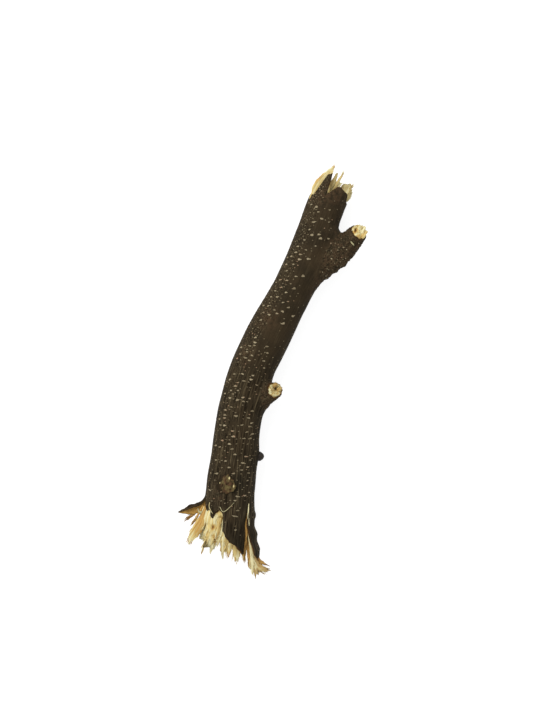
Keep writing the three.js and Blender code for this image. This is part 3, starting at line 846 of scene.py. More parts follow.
def splinter(
        shape, stops, thick, tone=0.3, tip_tone=None, turn=0.0, jag=0.8, ridges=0.3, aged=0.0, seed=0.0):
    """Places, grain, tone and age of one splinter. Each stop is x, y, z and a width. jag is how far the
    teeth at the tip reach, and ridges is the height of the folds."""
    _, share, round_, full = shape
    at, ahead = smooth_line(stops, share)
    length = np.linalg.norm(np.diff(np.array(stops, float)[:, :3], axis=0), axis=1).sum()
    across = direction(np.cross(ahead, UP))
    face = np.cross(across, ahead)
    lean = math.radians(turn)
    across, face = (
        across * math.cos(lean) + face * math.sin(lean), face * math.cos(lean) - across * math.sin(lean))
    side = np.sign(np.cos(round_)) * np.abs(np.cos(round_)) ** 0.8 * full
    wave = seed * 7.31
    (high, pace), (high_fine, pace_fine) = EDGE_WAVES
    edge = 1 + high * np.sin(pace * share + wave) + high_fine * np.sin(pace_fine * share + 2.3 * wave)
    x = 0.5 * at[:, 3] * side * np.where(share < 0.97, edge, 1)
    z = 0.5 * thick * np.sin(round_) * full * np.clip(1.3 * (1 - share) + 0.25, 0, 1)
    folds = 0.0
    if ridges:
        flat = np.stack([x + 5.7 * seed, share * length, 0 * x], axis=1)
        coarse, fine = (noise_at(flat, size, start) for size, start in zip(FOLDS, (0.0, 4.0)))
        folds = ridges * (1 - 2 * np.abs(coarse)) + 0.6 * ridges * fine
    turns = (wave, 1.7 * wave, wave)
    teeth = sum(high * np.sin(pace * x + start) for (high, pace), start in zip(TEETH, turns)) * jag
    raised = z + folds * np.sign(np.sin(round_)) * full * np.minimum(1, thick / 2)
    laid = at[:, :3] + ahead * (teeth * share**4)[:, None] + across * x[:, None] + face * raised[:, None]
    hole = hollows(laid)
    laid[:, 2] -= HOLE_DEPTH * hole * (np.sin(round_) > 0)
    laid[:, 2] = np.maximum(laid[:, 2], 0.1)
    grain = np.stack([x + 3.7 * seed, share * length + 11.3 * seed, z], axis=1)
    tones = tone + ((tone if tip_tone is None else tip_tone) - tone) * smooth(share, 0.55, 0.95)
    # Painted shade and light: the tone is browner in the creases of the folds and paler on their ridges.
    return laid, grain, tones - 0.35 * folds + HOLE_TONE * hole, np.full(len(share), aged)


def copies(name, number, faces, places):
    """One mesh of a number of copies of the same faces, with the places of all of them."""
    count = len(places) // number
    every_face = [[corner + n * count for corner in face] for n in range(number) for face in faces]
    mesh = bpy.data.meshes.new(name)
    mesh.from_pydata((places * MM).tolist(), [], every_face)
    piece = bpy.data.objects.new(name, mesh)
    bpy.context.scene.collection.objects.link(piece)
    return piece


def bundle(name, shape, splinters):
    """Joins splinters into one mesh."""
    laid, grain, tone, aged = (np.concatenate(parts) for parts in zip(*splinters))
    piece = copies(name, len(splinters), shape[0], laid)
    keep(piece, "grain", grain * MM)
    keep(piece, "tone", tone)
    keep(piece, "aged", aged)
    close_and_face_out(piece)
    return piece


def splinters_of(name, table):
    """Every splinter of a table, as one mesh."""
    return bundle(name, LARGE, [splinter(LARGE, **entry) for entry in table])


print("one splinter has", len(LARGE[1]), "vertices")

# %% [markdown]
# ## Splinters of the thick end
# The branch has torn off here, and long blades of wood stick out: an orange one on the left, a pale mass
# beside it, a frayed fringe under the wedge of bark, and a fan on the right with a strand that comes out
# of the crack. Each is placed one by one, since chance would not give these shapes.

# %% Splinters of the thick end
LOWER_SPLINTERS = [
    # the orange blade on the left
    dict(seed=1, thick=2.0, tone=0.80, tip_tone=0.0, stops=[
        (-15.6, -88, 17.5, 3.0), (-16.2, -97, 19.2, 3.0), (-16.0, -102.5, 19.8, 6.2),
        (-17.6, -108.5, 19.8, 6.8), (-18.9, -113, 19.4, 4.2), (-19.4, -116.9, 19.2, 1.2)]),
    dict(seed=26, thick=1.2, tone=0.1, stops=[
        (-15.0, -90, 20.2, 2.0), (-14.6, -97, 20.6, 2.0), (-14.4, -103, 20.4, 1.4),
        (-16.0, -108.6, 20.2, 0.8)]),
    # the pale mass beside it, and what lies over and under it
    dict(seed=2, thick=5.0, tone=0.34, jag=1.9, ridges=0.5, stops=[
        (-9.6, -84, 20.0, 9.0), (-9.4, -92, 22.2, 8.4), (-9.6, -98, 23.2, 10.6),
        (-7.6, -104, 22.6, 9.8), (-7.8, -109, 21.4, 9.8), (-7.6, -113.6, 20.0, 7.4)]),
    dict(seed=3, thick=1.6, tone=0.02, stops=[
        (-4.6, -88, 24.0, 1.4), (-4.2, -96, 24.6, 1.4), (-3.0, -103, 24.0, 1.5),
        (-3.0, -108, 22.6, 1.6), (-3.0, -112.6, 21.4, 0.8)]),
    dict(seed=4, thick=1.6, tone=0.62, ridges=0.15, jag=1.2, stops=[
        (-6.6, -90, 24.2, 1.6), (-6.2, -98, 24.9, 2.8), (-5.2, -105, 24.0, 3.0),
        (-5.4, -111, 22.0, 1.6)]),
    dict(seed=5, thick=1.6, tone=0.08, stops=[
        (-13.4, -92, 22.0, 3.2), (-12.6, -99, 22.4, 2.4), (-11.4, -105, 21.8, 2.6),
        (-11.4, -111.6, 20.4, 1.2)]),
    dict(seed=27, thick=1.6, tone=0.3, stops=[
        (-9.6, -88, 24.0, 3.0), (-9.4, -94, 24.6, 3.6), (-9.6, -98.6, 24.0, 2.0)]),
    dict(seed=6, thick=1.4, tone=0.3, stops=[
        (-10.4, -104, 21.4, 2.0), (-9.8, -110, 20.4, 2.2), (-10.4, -115, 19.0, 1.4),
        (-10.6, -120, 17.6, 0.3)]),
    dict(seed=7, thick=1.4, tone=0.0, stops=[
        (-6.0, -104, 22.2, 2.4), (-6.0, -110, 21.4, 2.6), (-5.6, -114, 20.0, 1.8),
        (-5.6, -116.8, 19.0, 0.5)]),
    dict(seed=8, thick=2.0, tone=0.1, aged=0.6, stops=[
        (-12.6, -100, 18.6, 4.6), (-12.6, -107, 18.0, 4.2), (-13.0, -112.5, 17.0, 2.4)]),
    # the frayed pinkish fringe under the wedge of bark
    dict(seed=9, thick=2.6, tone=0.36, tip_tone=0.66, jag=1.5, ridges=0.5, stops=[
        (-1.4, -96, 22.6, 5.6), (-0.4, -103, 23.0, 5.6), (0.6, -109, 21.6, 5.6),
        (1.4, -115, 19.6, 3.6)]),
    dict(seed=10, thick=1.2, tone=0.02, stops=[
        (-2.0, -101, 23.6, 1.8), (-1.2, -107, 23.0, 1.8), (0.6, -113, 21.0, 1.4),
        (2.4, -118.8, 19.2, 0.4)]),
    dict(seed=11, thick=1.8, tone=0.5, tip_tone=0.9, jag=1.2, stops=[
        (3.2, -100, 21.6, 3.6), (4.0, -108, 21.4, 3.8), (4.6, -113, 20.0, 2.8),
        (5.0, -117, 19.0, 0.9)]),
    # the blade under the point of the wedge, and the strands beside it
    dict(seed=12, thick=1.8, tone=0.55, tip_tone=0.1, jag=0.4, stops=[
        (5.6, -101, 20.6, 4.6), (7.4, -108, 20.6, 5.2), (9.4, -114, 19.8, 4.6),
        (10.6, -118.6, 19.0, 1.4)]),
    dict(seed=13, thick=1.4, tone=0.95, stops=[
        (10.6, -104, 18.4, 2.0), (12.4, -109, 18.2, 2.2), (13.6, -112.6, 18.0, 1.6),
        (15.0, -116, 17.8, 0.5)]),
    dict(seed=14, thick=1.2, tone=1.1, stops=[
        (7.8, -86, 22.4, 1.0), (9.4, -94, 23.2, 1.8), (10.8, -101, 22.4, 2.4), (12.2, -106, 21.2, 2.4),
        (13.2, -111, 19.8, 1.6), (14.4, -115.4, 18.4, 0.4)]),
    # the long strand out of the crack, and the fan that it ends in
    dict(seed=15, thick=1.2, tone=-0.1, jag=0.4, ridges=0.15, stops=[
        (6.8, -81.5, 22.2, 0.5), (8.0, -86.4, 23.9, 0.8), (9.9, -92.6, 24.5, 1.2),
        (11.9, -98.4, 23.9, 1.3), (14.6, -104.2, 22.6, 1.5), (17.4, -109.8, 21.0, 1.7),
        (19.4, -115, 19.8, 1.8), (21.4, -119.6, 19.0, 1.8), (22.0, -123, 18.6, 0.6)]),
    dict(seed=16, thick=1.8, tone=1.1, tip_tone=0.8, ridges=0.5, aged=0.5, stops=[
        (9.8, -94, 17.6, 2.4), (13.8, -105, 18.4, 4.0), (18.6, -113.4, 18.2, 4.4),
        (22.6, -118.6, 18.0, 5.4), (25.2, -122.6, 17.8, 2.6)]),
    dict(seed=17, thick=1.2, tone=-0.1, jag=0.3, stops=[
        (11.4, -97, 19.6, 1.0), (15.6, -107, 19.6, 1.3), (19.8, -114, 19.2, 1.5),
        (23.6, -119, 18.6, 0.8)]),
    dict(seed=18, thick=1.6, tone=0.95, ridges=0.45, aged=0.4, stops=[
        (20.0, -114.4, 17.6, 2.8), (24.4, -118.0, 17.6, 4.6), (27.6, -118.4, 17.4, 3.4),
        (31.0, -117.6, 17.2, 0.8)]),
    dict(seed=19, thick=1.8, tone=1.25, tip_tone=0.9, ridges=0.45, stops=[
        (15.6, -105, 17.4, 2.6), (19.6, -111, 17.2, 3.4), (23.6, -114.6, 17.0, 2.6),
        (28.2, -115.0, 16.8, 1.2)]),
    dict(seed=33, thick=1.4, tone=1.0, tip_tone=0.2, stops=[
        (12.0, -101, 18.8, 1.4), (14.6, -108, 19.2, 2.0), (17.6, -114, 18.8, 2.6),
        (20.0, -119.6, 18.2, 2.0)]),
    dict(seed=20, thick=0.9, tone=0.1, stops=[
        (15.0, -104, 20.4, 0.9), (17.6, -109.6, 20.2, 1.2), (19.2, -112.6, 19.6, 0.7)]),
    # shreds between the curl of bark and the orange blade
    dict(seed=28, thick=0.9, tone=0.85, stops=[
        (-18.2, -93, 17.4, 1.4), (-19.2, -98, 17.4, 1.6), (-20.0, -101.6, 17.2, 1.0),
        (-20.9, -104.6, 17.0, 0.3)]),
    dict(seed=29, thick=0.8, tone=0.3, stops=[
        (-17.2, -93, 17.6, 1.4), (-17.6, -98, 17.8, 1.2), (-17.9, -102.4, 17.4, 0.4)]),
    dict(seed=30, thick=1.0, tone=1.2, jag=0.2, stops=[
        (-20.4, -96, 16.6, 1.6), (-22.0, -99.6, 16.4, 2.0), (-23.6, -101.6, 16.2, 1.6),
        (-24.9, -103.4, 16.0, 1.0)]),
    dict(seed=31, thick=0.5, tone=0.0, aged=0.8, stops=[
        (-20.8, -95.6, 18.0, 0.5), (-19.4, -97.4, 18.2, 0.7), (-17.2, -97.4, 18.4, 0.3)]),
    # the wood under all of these
    dict(seed=21, thick=5.0, tone=0.5, stops=[
        (1.0, -94, 12.0, 7.0), (1.4, -106, 11.6, 6.4), (1.0, -114.6, 11.2, 2.4)]),
    dict(seed=22, thick=7.0, tone=0.5, stops=[
        (-6.5, -90, 15.0, 9.0), (-6.6, -102, 14.6, 8.4), (-6.5, -111.5, 13.2, 3.4)]),
    dict(seed=32, thick=5.0, tone=0.5, stops=[
        (-11.5, -88, 10.0, 7.0), (-11.6, -97, 9.6, 6.4), (-11.5, -106, 9.2, 2.4)]),
    dict(seed=23, thick=5.0, tone=0.5, stops=[
        (7.0, -94, 12.5, 6.5), (8.6, -104, 12.0, 6.0), (9.5, -111.5, 11.5, 2.2)]),
    dict(seed=24, thick=4.0, tone=0.5, stops=[
        (-2.0, -92, 7.4, 7.0), (-2.4, -102, 7.0, 6.0), (-3.0, -109.5, 6.6, 2.0)]),
    dict(seed=25, thick=4.0, tone=0.5, stops=[
        (4.6, -92, 7.4, 6.0), (5.2, -102, 7.0, 5.6), (5.4, -108.5, 6.8, 2.0)]),
]
lower_splinters = splinters_of("lower_splinters", LOWER_SPLINTERS)
print(len(LOWER_SPLINTERS), "splinters,", len(lower_splinters.data.polygons), "faces")

# %% [markdown]
# ## Splinters of the thin end
# A leaf-shaped blade stands on the left of the tongue of bark. To the right of it are a strip, a shard
# and the wall of a white hollow. They are made the same way, and flatter.

# %% Splinters of the thin end
UPPER_SPLINTERS = [
    # the leaf on the left, orange in the middle
    dict(seed=31, thick=1.8, tone=0.55, tip_tone=0.15, jag=0.4, stops=[
        (-10.4, 92, 13.0, 4.0), (-12.0, 102, 15.2, 6.0), (-11.8, 109, 16.0, 6.6),
        (-10.2, 115, 16.8, 5.6), (-7.8, 120, 17.2, 3.2), (-6.6, 123.4, 17.2, 1.3)]),
    dict(seed=32, thick=1.2, tone=0.1, jag=0.3, stops=[
        (-8.2, 104, 16.6, 1.4), (-7.6, 112, 17.4, 1.6), (-6.9, 118, 17.8, 1.6),
        (-6.6, 122, 17.6, 0.8)]),
    # the strip and the shard to the right of the tongue of bark
    dict(seed=33, thick=1.6, tone=0.5, aged=0.5, jag=0.7, stops=[
        (-5.8, 101, 14.4, 2.4), (-5.4, 108, 15.6, 2.4), (-4.2, 114, 15.9, 3.2),
        (-3.4, 119.8, 15.4, 1.4)]),
    dict(seed=34, thick=1.2, tone=0.4, aged=0.2, jag=0.1, stops=[
        (-3.0, 108, 15.6, 1.4), (-1.6, 115, 16.0, 2.0), (-0.6, 119, 15.8, 1.2),
        (0.0, 122.4, 15.6, 0.3)]),
    # the white hollow and the wall behind it
    dict(seed=35, thick=1.4, tone=-0.8, jag=0.4, ridges=0.15, stops=[
        (-5.6, 101, 14.2, 2.4), (-3.8, 107, 15.0, 3.0), (-2.0, 111.6, 15.2, 3.6),
        (0.0, 116, 14.4, 2.6)]),
    dict(seed=36, thick=2.2, tone=0.6, aged=0.7, jag=0.5, ridges=0.5, stops=[
        (2.4, 98, 11.2, 3.6), (3.4, 104, 11.4, 5.0), (4.8, 109, 11.8, 7.0), (5.0, 113, 11.8, 6.6),
        (4.2, 116.6, 11.6, 4.6)]),
    dict(seed=37, thick=2.4, tone=0.1, aged=0.2, jag=0.4, stops=[
        (3.0, 97, 9.0, 2.0), (3.6, 102, 9.4, 2.2), (5.2, 106, 10.0, 2.6), (7.4, 109, 10.4, 2.8),
        (8.2, 113, 10.6, 1.4)]),
    dict(seed=38, thick=1.2, tone=0.35, aged=0.3, jag=0.2, stops=[
        (5.6, 109, 12.6, 2.2), (6.0, 113, 12.6, 2.0), (7.4, 116.6, 12.4, 0.4)]),
    # the wood under all of these
    dict(seed=39, thick=4.4, tone=0.5, stops=[
        (-10.0, 94, 9.6, 5.0), (-9.8, 106, 9.8, 4.8), (-9.2, 113, 10.0, 2.0)]),
    dict(seed=40, thick=3.4, tone=0.5, stops=[
        (-4.0, 94, 5.0, 7.5), (-3.4, 107, 5.2, 7.0), (-3.0, 115.5, 5.4, 3.0)]),
    dict(seed=41, thick=3.4, tone=0.5, stops=[
        (2.8, 94, 6.0, 7.5), (3.4, 107, 6.4, 7.0), (3.6, 115.0, 6.6, 4.0)]),
    dict(seed=42, thick=3.4, tone=0.5, aged=0.5, stops=[
        (-3.0, 94, 10.4, 8.0), (-2.4, 106, 10.6, 7.6), (-2.0, 113.5, 10.6, 5.0)]),
]
upper_splinters = splinters_of("upper_splinters", UPPER_SPLINTERS)
print(len(UPPER_SPLINTERS), "splinters,", len(upper_splinters.data.polygons), "faces")

# %% [markdown]
# ## Splinters of the side branch and the twig
# The two stubs have snapped short, so their breaks are rough rather than long. A few stout splinters
# over each core give the ragged rim that noise alone would leave too even.

# %% Splinters of the side branch and the twig
SIDE_SPLINTERS = [
    dict(seed=51, thick=2.4, tone=0.25, jag=0.3, stops=[
        (15.4, 82, 19.8, 3.0), (16.0, 88, 21.8, 3.2), (16.6, 92.8, 22.6, 1.6)]),
    dict(seed=52, thick=2.6, tone=0.3, jag=0.4, stops=[
        (17.6, 82, 18.5, 4.0), (18.8, 89, 21.2, 4.0), (19.4, 94.6, 22.0, 2.6)]),
    dict(seed=53, thick=1.8, tone=0.1, jag=0.2, stops=[
        (19.4, 84, 20.0, 2.6), (21.4, 90, 22.2, 2.6), (22.3, 94.8, 22.6, 0.8)]),
    dict(seed=54, thick=2.0, tone=0.45, jag=0.3, stops=[
        (20.0, 84, 20.0, 2.8), (22.6, 89, 23.0, 2.8), (23.8, 92.6, 23.4, 1.2)]),
]
TWIG_SPLINTERS = [
    dict(seed=61, thick=2.2, tone=0.9, aged=0.3, jag=0.3, stops=[
        (-2.0, -18.0, 17.0, 2.8), (-0.4, -13.0, 21.6, 2.8), (0.6, -10.0, 24.0, 1.6)]),
    dict(seed=62, thick=2.2, tone=0.6, aged=0.3, jag=0.3, stops=[
        (0.0, -17.5, 17.0, 2.8), (2.6, -14.0, 21.4, 2.8), (4.2, -11.6, 24.2, 1.6)]),
    dict(seed=63, thick=2.4, tone=0.3, jag=0.3, stops=[
        (-2.6, -20.0, 17.5, 2.6), (-0.6, -17.6, 21.0, 2.6), (0.6, -16.0, 23.8, 1.6)]),
]
side_splinters = splinters_of("side_branch_splinters", SIDE_SPLINTERS)
twig_splinters = splinters_of("twig_stub_splinters", TWIG_SPLINTERS)
print(len(SIDE_SPLINTERS) + len(TWIG_SPLINTERS), "splinters on the stubs")

# %% [markdown]
# ## Fine fibres
# Torn wood ends in fibres as thin as hairs. Hair strands could show them, but joined meshes stay where
# they are put and go with the piece. Each fibre is a small splinter that leaves a larger one near its
# tip or an edge, with fixed random numbers.

# %% Fine fibres at the tips and edges of the splinters
rng = np.random.default_rng(11)
FURTHEST = (-32.4, 32.2, -127.5, 127.0, 31.0)  # mm: least x, most x, least y, most y, most z
FIBRE_FROM = (0.45, 0.98)  # shares of a splinter's length at which fibres leave it
FIBRE_ASIDE = (0.4, 0.95)  # shares of its half width
FIBRE_ROOT = 1.5  # how deep a fibre starts inside its splinter
FIBRE_BOW = 0.06
TONE_SPREAD = 0.22


def fibres(table, per_piece, length, width, spread):
    """Fine fibres that leave each splinter near its tip or an edge."""
    made = []
    for entry in table:
        for _ in range(per_piece):
            share = np.array([rng.uniform(*FIBRE_FROM)])
            at, ahead = smooth_line(entry["stops"], share)
            at, ahead = at[0], ahead[0]
            across = direction(np.cross(ahead, UP))
            start = at[:3] + across * rng.choice((-1, 1)) * rng.uniform(*FIBRE_ASIDE) * at[3] / 2
            start[2] += rng.uniform(-0.3, 0.4) * entry["thick"]
            way = ahead + across * rng.normal(0, spread) + UP * rng.normal(0, spread)
            reach = rng.uniform(*length) * (1.15 - 0.5 * share[0])
            size = rng.uniform(*width)
            bow = across * rng.normal(0, FIBRE_BOW) * reach
            stops = [
                (*(start - ahead * FIBRE_ROOT), size), (*(start + way * reach / 2 + bow), size * 0.8),
                (*(start + way * reach), size * 0.2)]
            tone = entry["tone"] + rng.normal(0, TONE_SPREAD)
            made.append(splinter(
                SMALL, stops, size * rng.uniform(0.3, 0.7), tone=tone, turn=rng.uniform(-60, 60), jag=0.1,
                ridges=0.0, aged=entry.get("aged", 0.0), seed=rng.uniform(0, 50)))
    low, high = np.array(FURTHEST[0:4:2]), np.array(FURTHEST[1:4:2])
    return [
        one for one in made
        if (one[0][:, :2] > low).all() and (one[0][:, :2] < high).all() and one[0][:, 2].max() < FURTHEST[4]]


lower_fibres = bundle("lower_fibres", SMALL, fibres(LOWER_SPLINTERS, 22, (2.0, 6.0), (0.18, 0.8), 0.10))
upper_fibres = bundle("upper_fibres", SMALL, fibres(UPPER_SPLINTERS, 16, (1.5, 4.0), (0.15, 0.6), 0.08))
side_fibres = bundle("side_branch_fibres", SMALL, fibres(SIDE_SPLINTERS, 20, (0.6, 1.8), (0.15, 0.6), 0.15))
twig_fibres = bundle("twig_stub_fibres", SMALL, fibres(TWIG_SPLINTERS, 20, (0.6, 1.8), (0.15, 0.6), 0.15))
fibre_pieces = (lower_fibres, upper_fibres, side_fibres, twig_fibres)
print("fibres have", sum(len(piece.data.polygons) for piece in fibre_pieces), "faces")

# %% [markdown]
# ## The curl of bark
# On the left of the thick end a strip of bark has sprung out and bent away. Across, it is rolled like
# a C that opens to the right: its upper arm shows the dark outside, and its longer lower arm shows the
# tan inside. A bent plane with a thickness would have square edges, so a ball is drawn out along the
# back of the roll and bent to that section.

# %% Bark curl
CURL_BACK = [  # x, y, z and the scale of the section
    (-18.6, -78.0, 14.6, 0.26), (-18.6, -84.0, 15.2, 0.32), (-18.4, -88.0, 16.0, 0.40),
    (-19.5, -92.0, 16.8, 0.60), (-22.2, -94.4, 17.6, 0.95), (-24.8, -95.6, 17.8, 1.0),
    (-26.8, -98.0, 17.4, 0.72), (-28.9, -99.7, 17.0, 0.42), (-31.2, -101.8, 16.6, 0.02),
]
CURL_SECTION = [  # from the edge of the upper arm, over the back, to the edge of the lower arm: right, up
    (0.9, 1.5), (0.3, 1.8), (-0.6, 1.6), (-1.2, 0.7), (-0.9, -0.3), (0.7, -0.9), (2.9, -1.0),
    (5.2, -0.5), (6.8, 0.1),
]
CURL_THICK = 0.8
CURL_FLAT = (6, 34)  # mm: width and length of the strip if it were rolled out
CRUMPLE = (0.35, 1.6, 2.4)  # height, size across, size along

curl, share, round_, full = ball("bark_curl", 64, 90)
back, ahead = smooth_line(CURL_BACK, share)
rightwards = direction(np.cross(UP, ahead))
across = 0.5 + 0.5 * np.sign(np.cos(round_)) * np.abs(np.cos(round_)) ** 0.7 * full
across = across * (0.93 + 0.07 * np.sin(23 * share) * np.cos(9 * share))
section = smoothed(CURL_SECTION, 80, 12)
slope = np.gradient(section, axis=0)
outward = direction(np.stack([slope[:, 1], -slope[:, 0]], axis=1))
fine = np.linspace(0, 1, len(section))
right, up, right_out, up_out = read_at(across, fine, np.hstack([section, outward])).T
scale = back[:, 3] * (1 + 0.10 * np.sin(19 * share + 1) + 0.07 * np.sin(43 * share))
wall = 0.5 * CURL_THICK * np.sin(round_) * full
rolled_out = np.stack([across * CURL_FLAT[0], share * CURL_FLAT[1], wall], axis=1)
crumple = CRUMPLE[0] * noise_at(rolled_out * (1, 1, 0), (CRUMPLE[1], CRUMPLE[2], 1.0), 8.0)
right = right * scale + right_out * (wall + crumple)
up = up * scale + up_out * (wall + crumple)
set_places(curl, back[:, :3] + rightwards * right[:, None] + UP * up[:, None])
keep(curl, "grain", rolled_out * MM)
keep(curl, "lined", np.ones(len(share)))
keep(curl, "russet", bell((share - 0.75) / 0.2))
keep(curl, "depth", np.clip(0.5 - 0.9 * np.sin(round_) * full, 0, 1))
close_and_face_out(curl)
print(curl.name, len(curl.data.polygons), "faces")

# %% [markdown]
# ## The bud
# One squat bud sits on the right. Its overlapping scales could be separate pieces, but each would be
# only a few picture elements wide. So a ball is given the bud's outline, and the scales are low steps.

# %% Bud
BUD_BASE = (4.0, -55.2, 14.6)
BUD_TOWARD = (0.95, 0.31, 0.05)
BUD_SUNK = 2.4
BUD_HEIGHT = (0.0, 0.6, 2.4, 3.4, 4.8, 5.6, 5.9)
BUD_RADIUS = (0.0, 2.4, 2.8, 2.7, 2.0, 1.0, 0.0)

bud, bud_share, bud_round, _ = ball("bud_scales", 40, 40)
bud_height = bud_share * BUD_HEIGHT[-1]
bud_radius = np.interp(bud_height, BUD_HEIGHT, BUD_RADIUS)
overlap = (bud_share * 3.2 + 0.35 * np.abs(np.sin(bud_round * 1.5))) % 1
bud_radius = bud_radius * (1 + 0.10 * (1 - overlap))
toward = direction(np.array(BUD_TOWARD))
bud_side = direction(np.cross(toward, UP))
bud_top = np.cross(bud_side, toward)
bud_places = (
    np.array(BUD_BASE) + np.outer(bud_height - BUD_SUNK, toward)
    + np.outer(bud_radius * np.sin(bud_round), bud_side) + np.outer(bud_radius * np.cos(bud_round), bud_top))
set_places(bud, bud_places)
keep(bud, "grain", bud_places * MM)
close_and_face_out(bud)
print(bud.name, len(bud.data.polygons), "faces")

# %% [markdown]
# ## Places read off the photograph
# The larger pores were read off the photograph, in its picture elements, because such readings
# can be checked against it. A reading is a line of sight from the camera, so it is followed down until
# it meets the skin of the stem.

# %% From a picture element to a place on the stem
def seen_on_stem(readings):
    """Distance along the stem and degrees round it of readings in picture elements."""
    readings = np.array(readings, float)
    right = (readings[:, 0] - PICTURE[0] / 2) * ELEMENT
    up = (PICTURE[1] / 2 - readings[:, 1]) * ELEMENT
    roll = math.radians(CAMERA_ROLL)
    height = np.full(len(readings), 20.0)
    for _ in range(12):
        nearer = (CAMERA_ABOVE + BRANCH_HEIGHT - height) / CAMERA_ABOVE
        x = CAMERA_PLACE[0] + (right * math.cos(roll) - up * math.sin(roll)) * nearer
        y = CAMERA_PLACE[1] + (right * math.sin(roll) + up * math.cos(roll)) * nearer
        along, _, _ = stem.find(np.stack([x, y, height], axis=1))
        centre, _, _, side, top = stem.axes(along)
        aside = (x - centre[:, 0]) * side[:, 0] + (y - centre[:, 1]) * side[:, 1]
        degrees = np.degrees(np.arcsin(np.clip(aside / stem_radius(along, 0 * along), -0.99, 0.99)))
        height = stem.place(along, degrees, stem_radius(along, degrees))[0][:, 2]
    return along, degrees


# Pores of the upper half, of the middle, and of the lower half
PORES_UPPER = [
    (322, 219), (314, 222), (329, 222), (309.5, 229.5), (312, 235), (320.5, 238.5), (327.5, 238.5),
    (319, 234.5), (315.5, 246), (298, 246.5), (304.5, 240), (296, 252.5), (306, 250), (300.5, 254.5),
    (291.5, 256.5), (287.5, 257.5), (299.5, 259.5), (308.5, 259), (293.5, 264.5), (286.5, 264.5),
    (323, 263), (319, 273.5), (287, 271), (296, 276.5), (303, 276), (280.5, 280), (287, 280.5),
    (276.5, 282.5), (281.5, 287.5), (294, 288.5), (275.5, 291), (286, 292.5), (271.5, 297), (277.5, 297),
    (288, 301.5), (283, 302.5), (263.5, 305.5), (268.5, 306), (288.5, 307.5), (282.5, 311.5),
    (274.5, 310), (263.5, 312.5), (269.5, 315), (277, 313.5), (293, 316), (283, 323.5), (261, 320),
    (329, 242.5), (333, 242.5), (316.5, 207), (321.5, 218.5), (329.5, 210), (318.5, 212), (309, 203),
    (311.5, 204.5), (347, 251.5), (344, 258.5),
]
PORES_MIDDLE = [
    (255.5, 337.5), (255, 342.5), (254.5, 345.5), (250, 346), (247.5, 349.5), (247.5, 352),
    (241.5, 347.5), (241.5, 354.5), (252, 355.5), (246, 358), (237.5, 358.5), (249.5, 360.5),
    (267, 346.5), (267.5, 353), (264, 361), (264, 368), (234.5, 374), (242.5, 374), (253, 375.5),
    (230, 379.5), (227, 381.5), (238, 382.5), (244, 381), (251, 379.5), (256.5, 385), (235.5, 386),
    (231, 390.5), (238, 390.5), (225, 393.5), (233, 394), (230, 398), (237.5, 400), (243, 397.5),
    (243.5, 401.5), (249.5, 398.5),
]
PORES_LOWER = [
    (231.5, 407), (225.5, 410), (225, 415), (224.5, 418), (219.5, 419), (236, 416), (252, 411),
    (248.5, 418), (251.5, 423), (249.5, 426.5), (220.5, 425), (224.5, 425.5), (242, 425), (223, 430),
    (232.5, 431), (233.5, 436.5), (247, 432), (252.5, 434), (222.5, 440.5), (244, 438.5), (250, 438.5),
    (229.5, 444), (216, 445.5), (220, 447), (232, 449), (235, 454.5), (246, 456.5), (250, 460),
    (216, 460), (225.5, 461), (243, 463), (247.5, 467), (229, 467.5), (241.5, 470), (233.5, 473.5),
    (217, 473.5), (211, 473), (237.5, 496.5), (244.5, 495.5), (235.5, 530), (234, 516), (236.5, 516.5),
    (235, 500.5), (237.5, 510.5), (248.5, 473), (247.5, 480.5), (249, 492.5), (210, 490),
]
# Those of them that are larger
LARGE_PORES = [
    (316.5, 207), (314, 222), (299.5, 259.5), (308.5, 259), (303, 276), (293, 316), (283, 323.5),
    (312, 235), (294, 288.5), (320.5, 238.5),
]
print("pores read", len(PORES_UPPER) + len(PORES_MIDDLE) + len(PORES_LOWER))

# %% [markdown]
# ## Pores
# Bark breathes through pale corky pores. Each is a low oval bump with a groove along it. On the upper
# half they are round and crowd the left side, and on the lower half they are short dashes across the
# stem. A bump in the material would look flat from the side, so one pore is modelled from a circle,
# inset three times, and its copies are laid on the finished skin. Fixed random numbers scatter more of
# them: small ones between those read, and all those on the sides that the photograph doesn't show.

# %% One pore
PORE_RISE = 0.42  # height of a pore against its half size
# Radius and height of each ring of a pore
PORE_RINGS = ((1.0, -0.5), (0.93, 0.35), (0.70, 0.95), (0.36, 0.9))
PORE_MIDDLE = 0.8  # height in the middle

alone()
bpy.ops.mesh.primitive_circle_add(vertices=12, radius=1.0, fill_type="NGON")
pore_model = bpy.context.active_object
bpy.ops.object.mode_set(mode="EDIT")
bpy.ops.mesh.select_all(action="SELECT")
for outer, inner in zip(PORE_RINGS, PORE_RINGS[1:]):
    bpy.ops.mesh.inset(thickness=outer[0] - inner[0], depth=0)
bpy.ops.mesh.poke()
bpy.ops.object.mode_set(mode="OBJECT")
pore_faces = [list(face.vertices) for face in pore_model.data.polygons]
pore_flat = np.array([vertex.co[:2] for vertex in pore_model.data.vertices])
bpy.data.objects.remove(pore_model)

far = np.hypot(*pore_flat.T)
ring_radius, ring_height = zip(*PORE_RINGS[::-1])
pore_height = np.interp(far, (0.0, *ring_radius), (PORE_MIDDLE, *ring_height))
print("one pore has", len(pore_faces), "faces")

# %% Where the pores are
rng = np.random.default_rng(5)
PORE_GROUPS = [  # readings, half sizes across and along, turn in degrees
    (PORES_UPPER, (1.02, 0.62), 24), (PORES_MIDDLE, (1.15, 0.60), 14), (PORES_LOWER, (1.45, 0.58), 5),
]
LARGER = 1.3
SCATTERED = 5200  # tries on the stem
SCATTERED_FROM, SCATTERED_TO = -112, 110  # distances along
CLEAR_OF_EDGE = 1.5
NEAREST_SHOWN, NEAREST_HIDDEN = 1.5, 2.1
SIDE_PORES = 90
SHOWN = 76.0  # degrees to either side of the top that the photograph shows
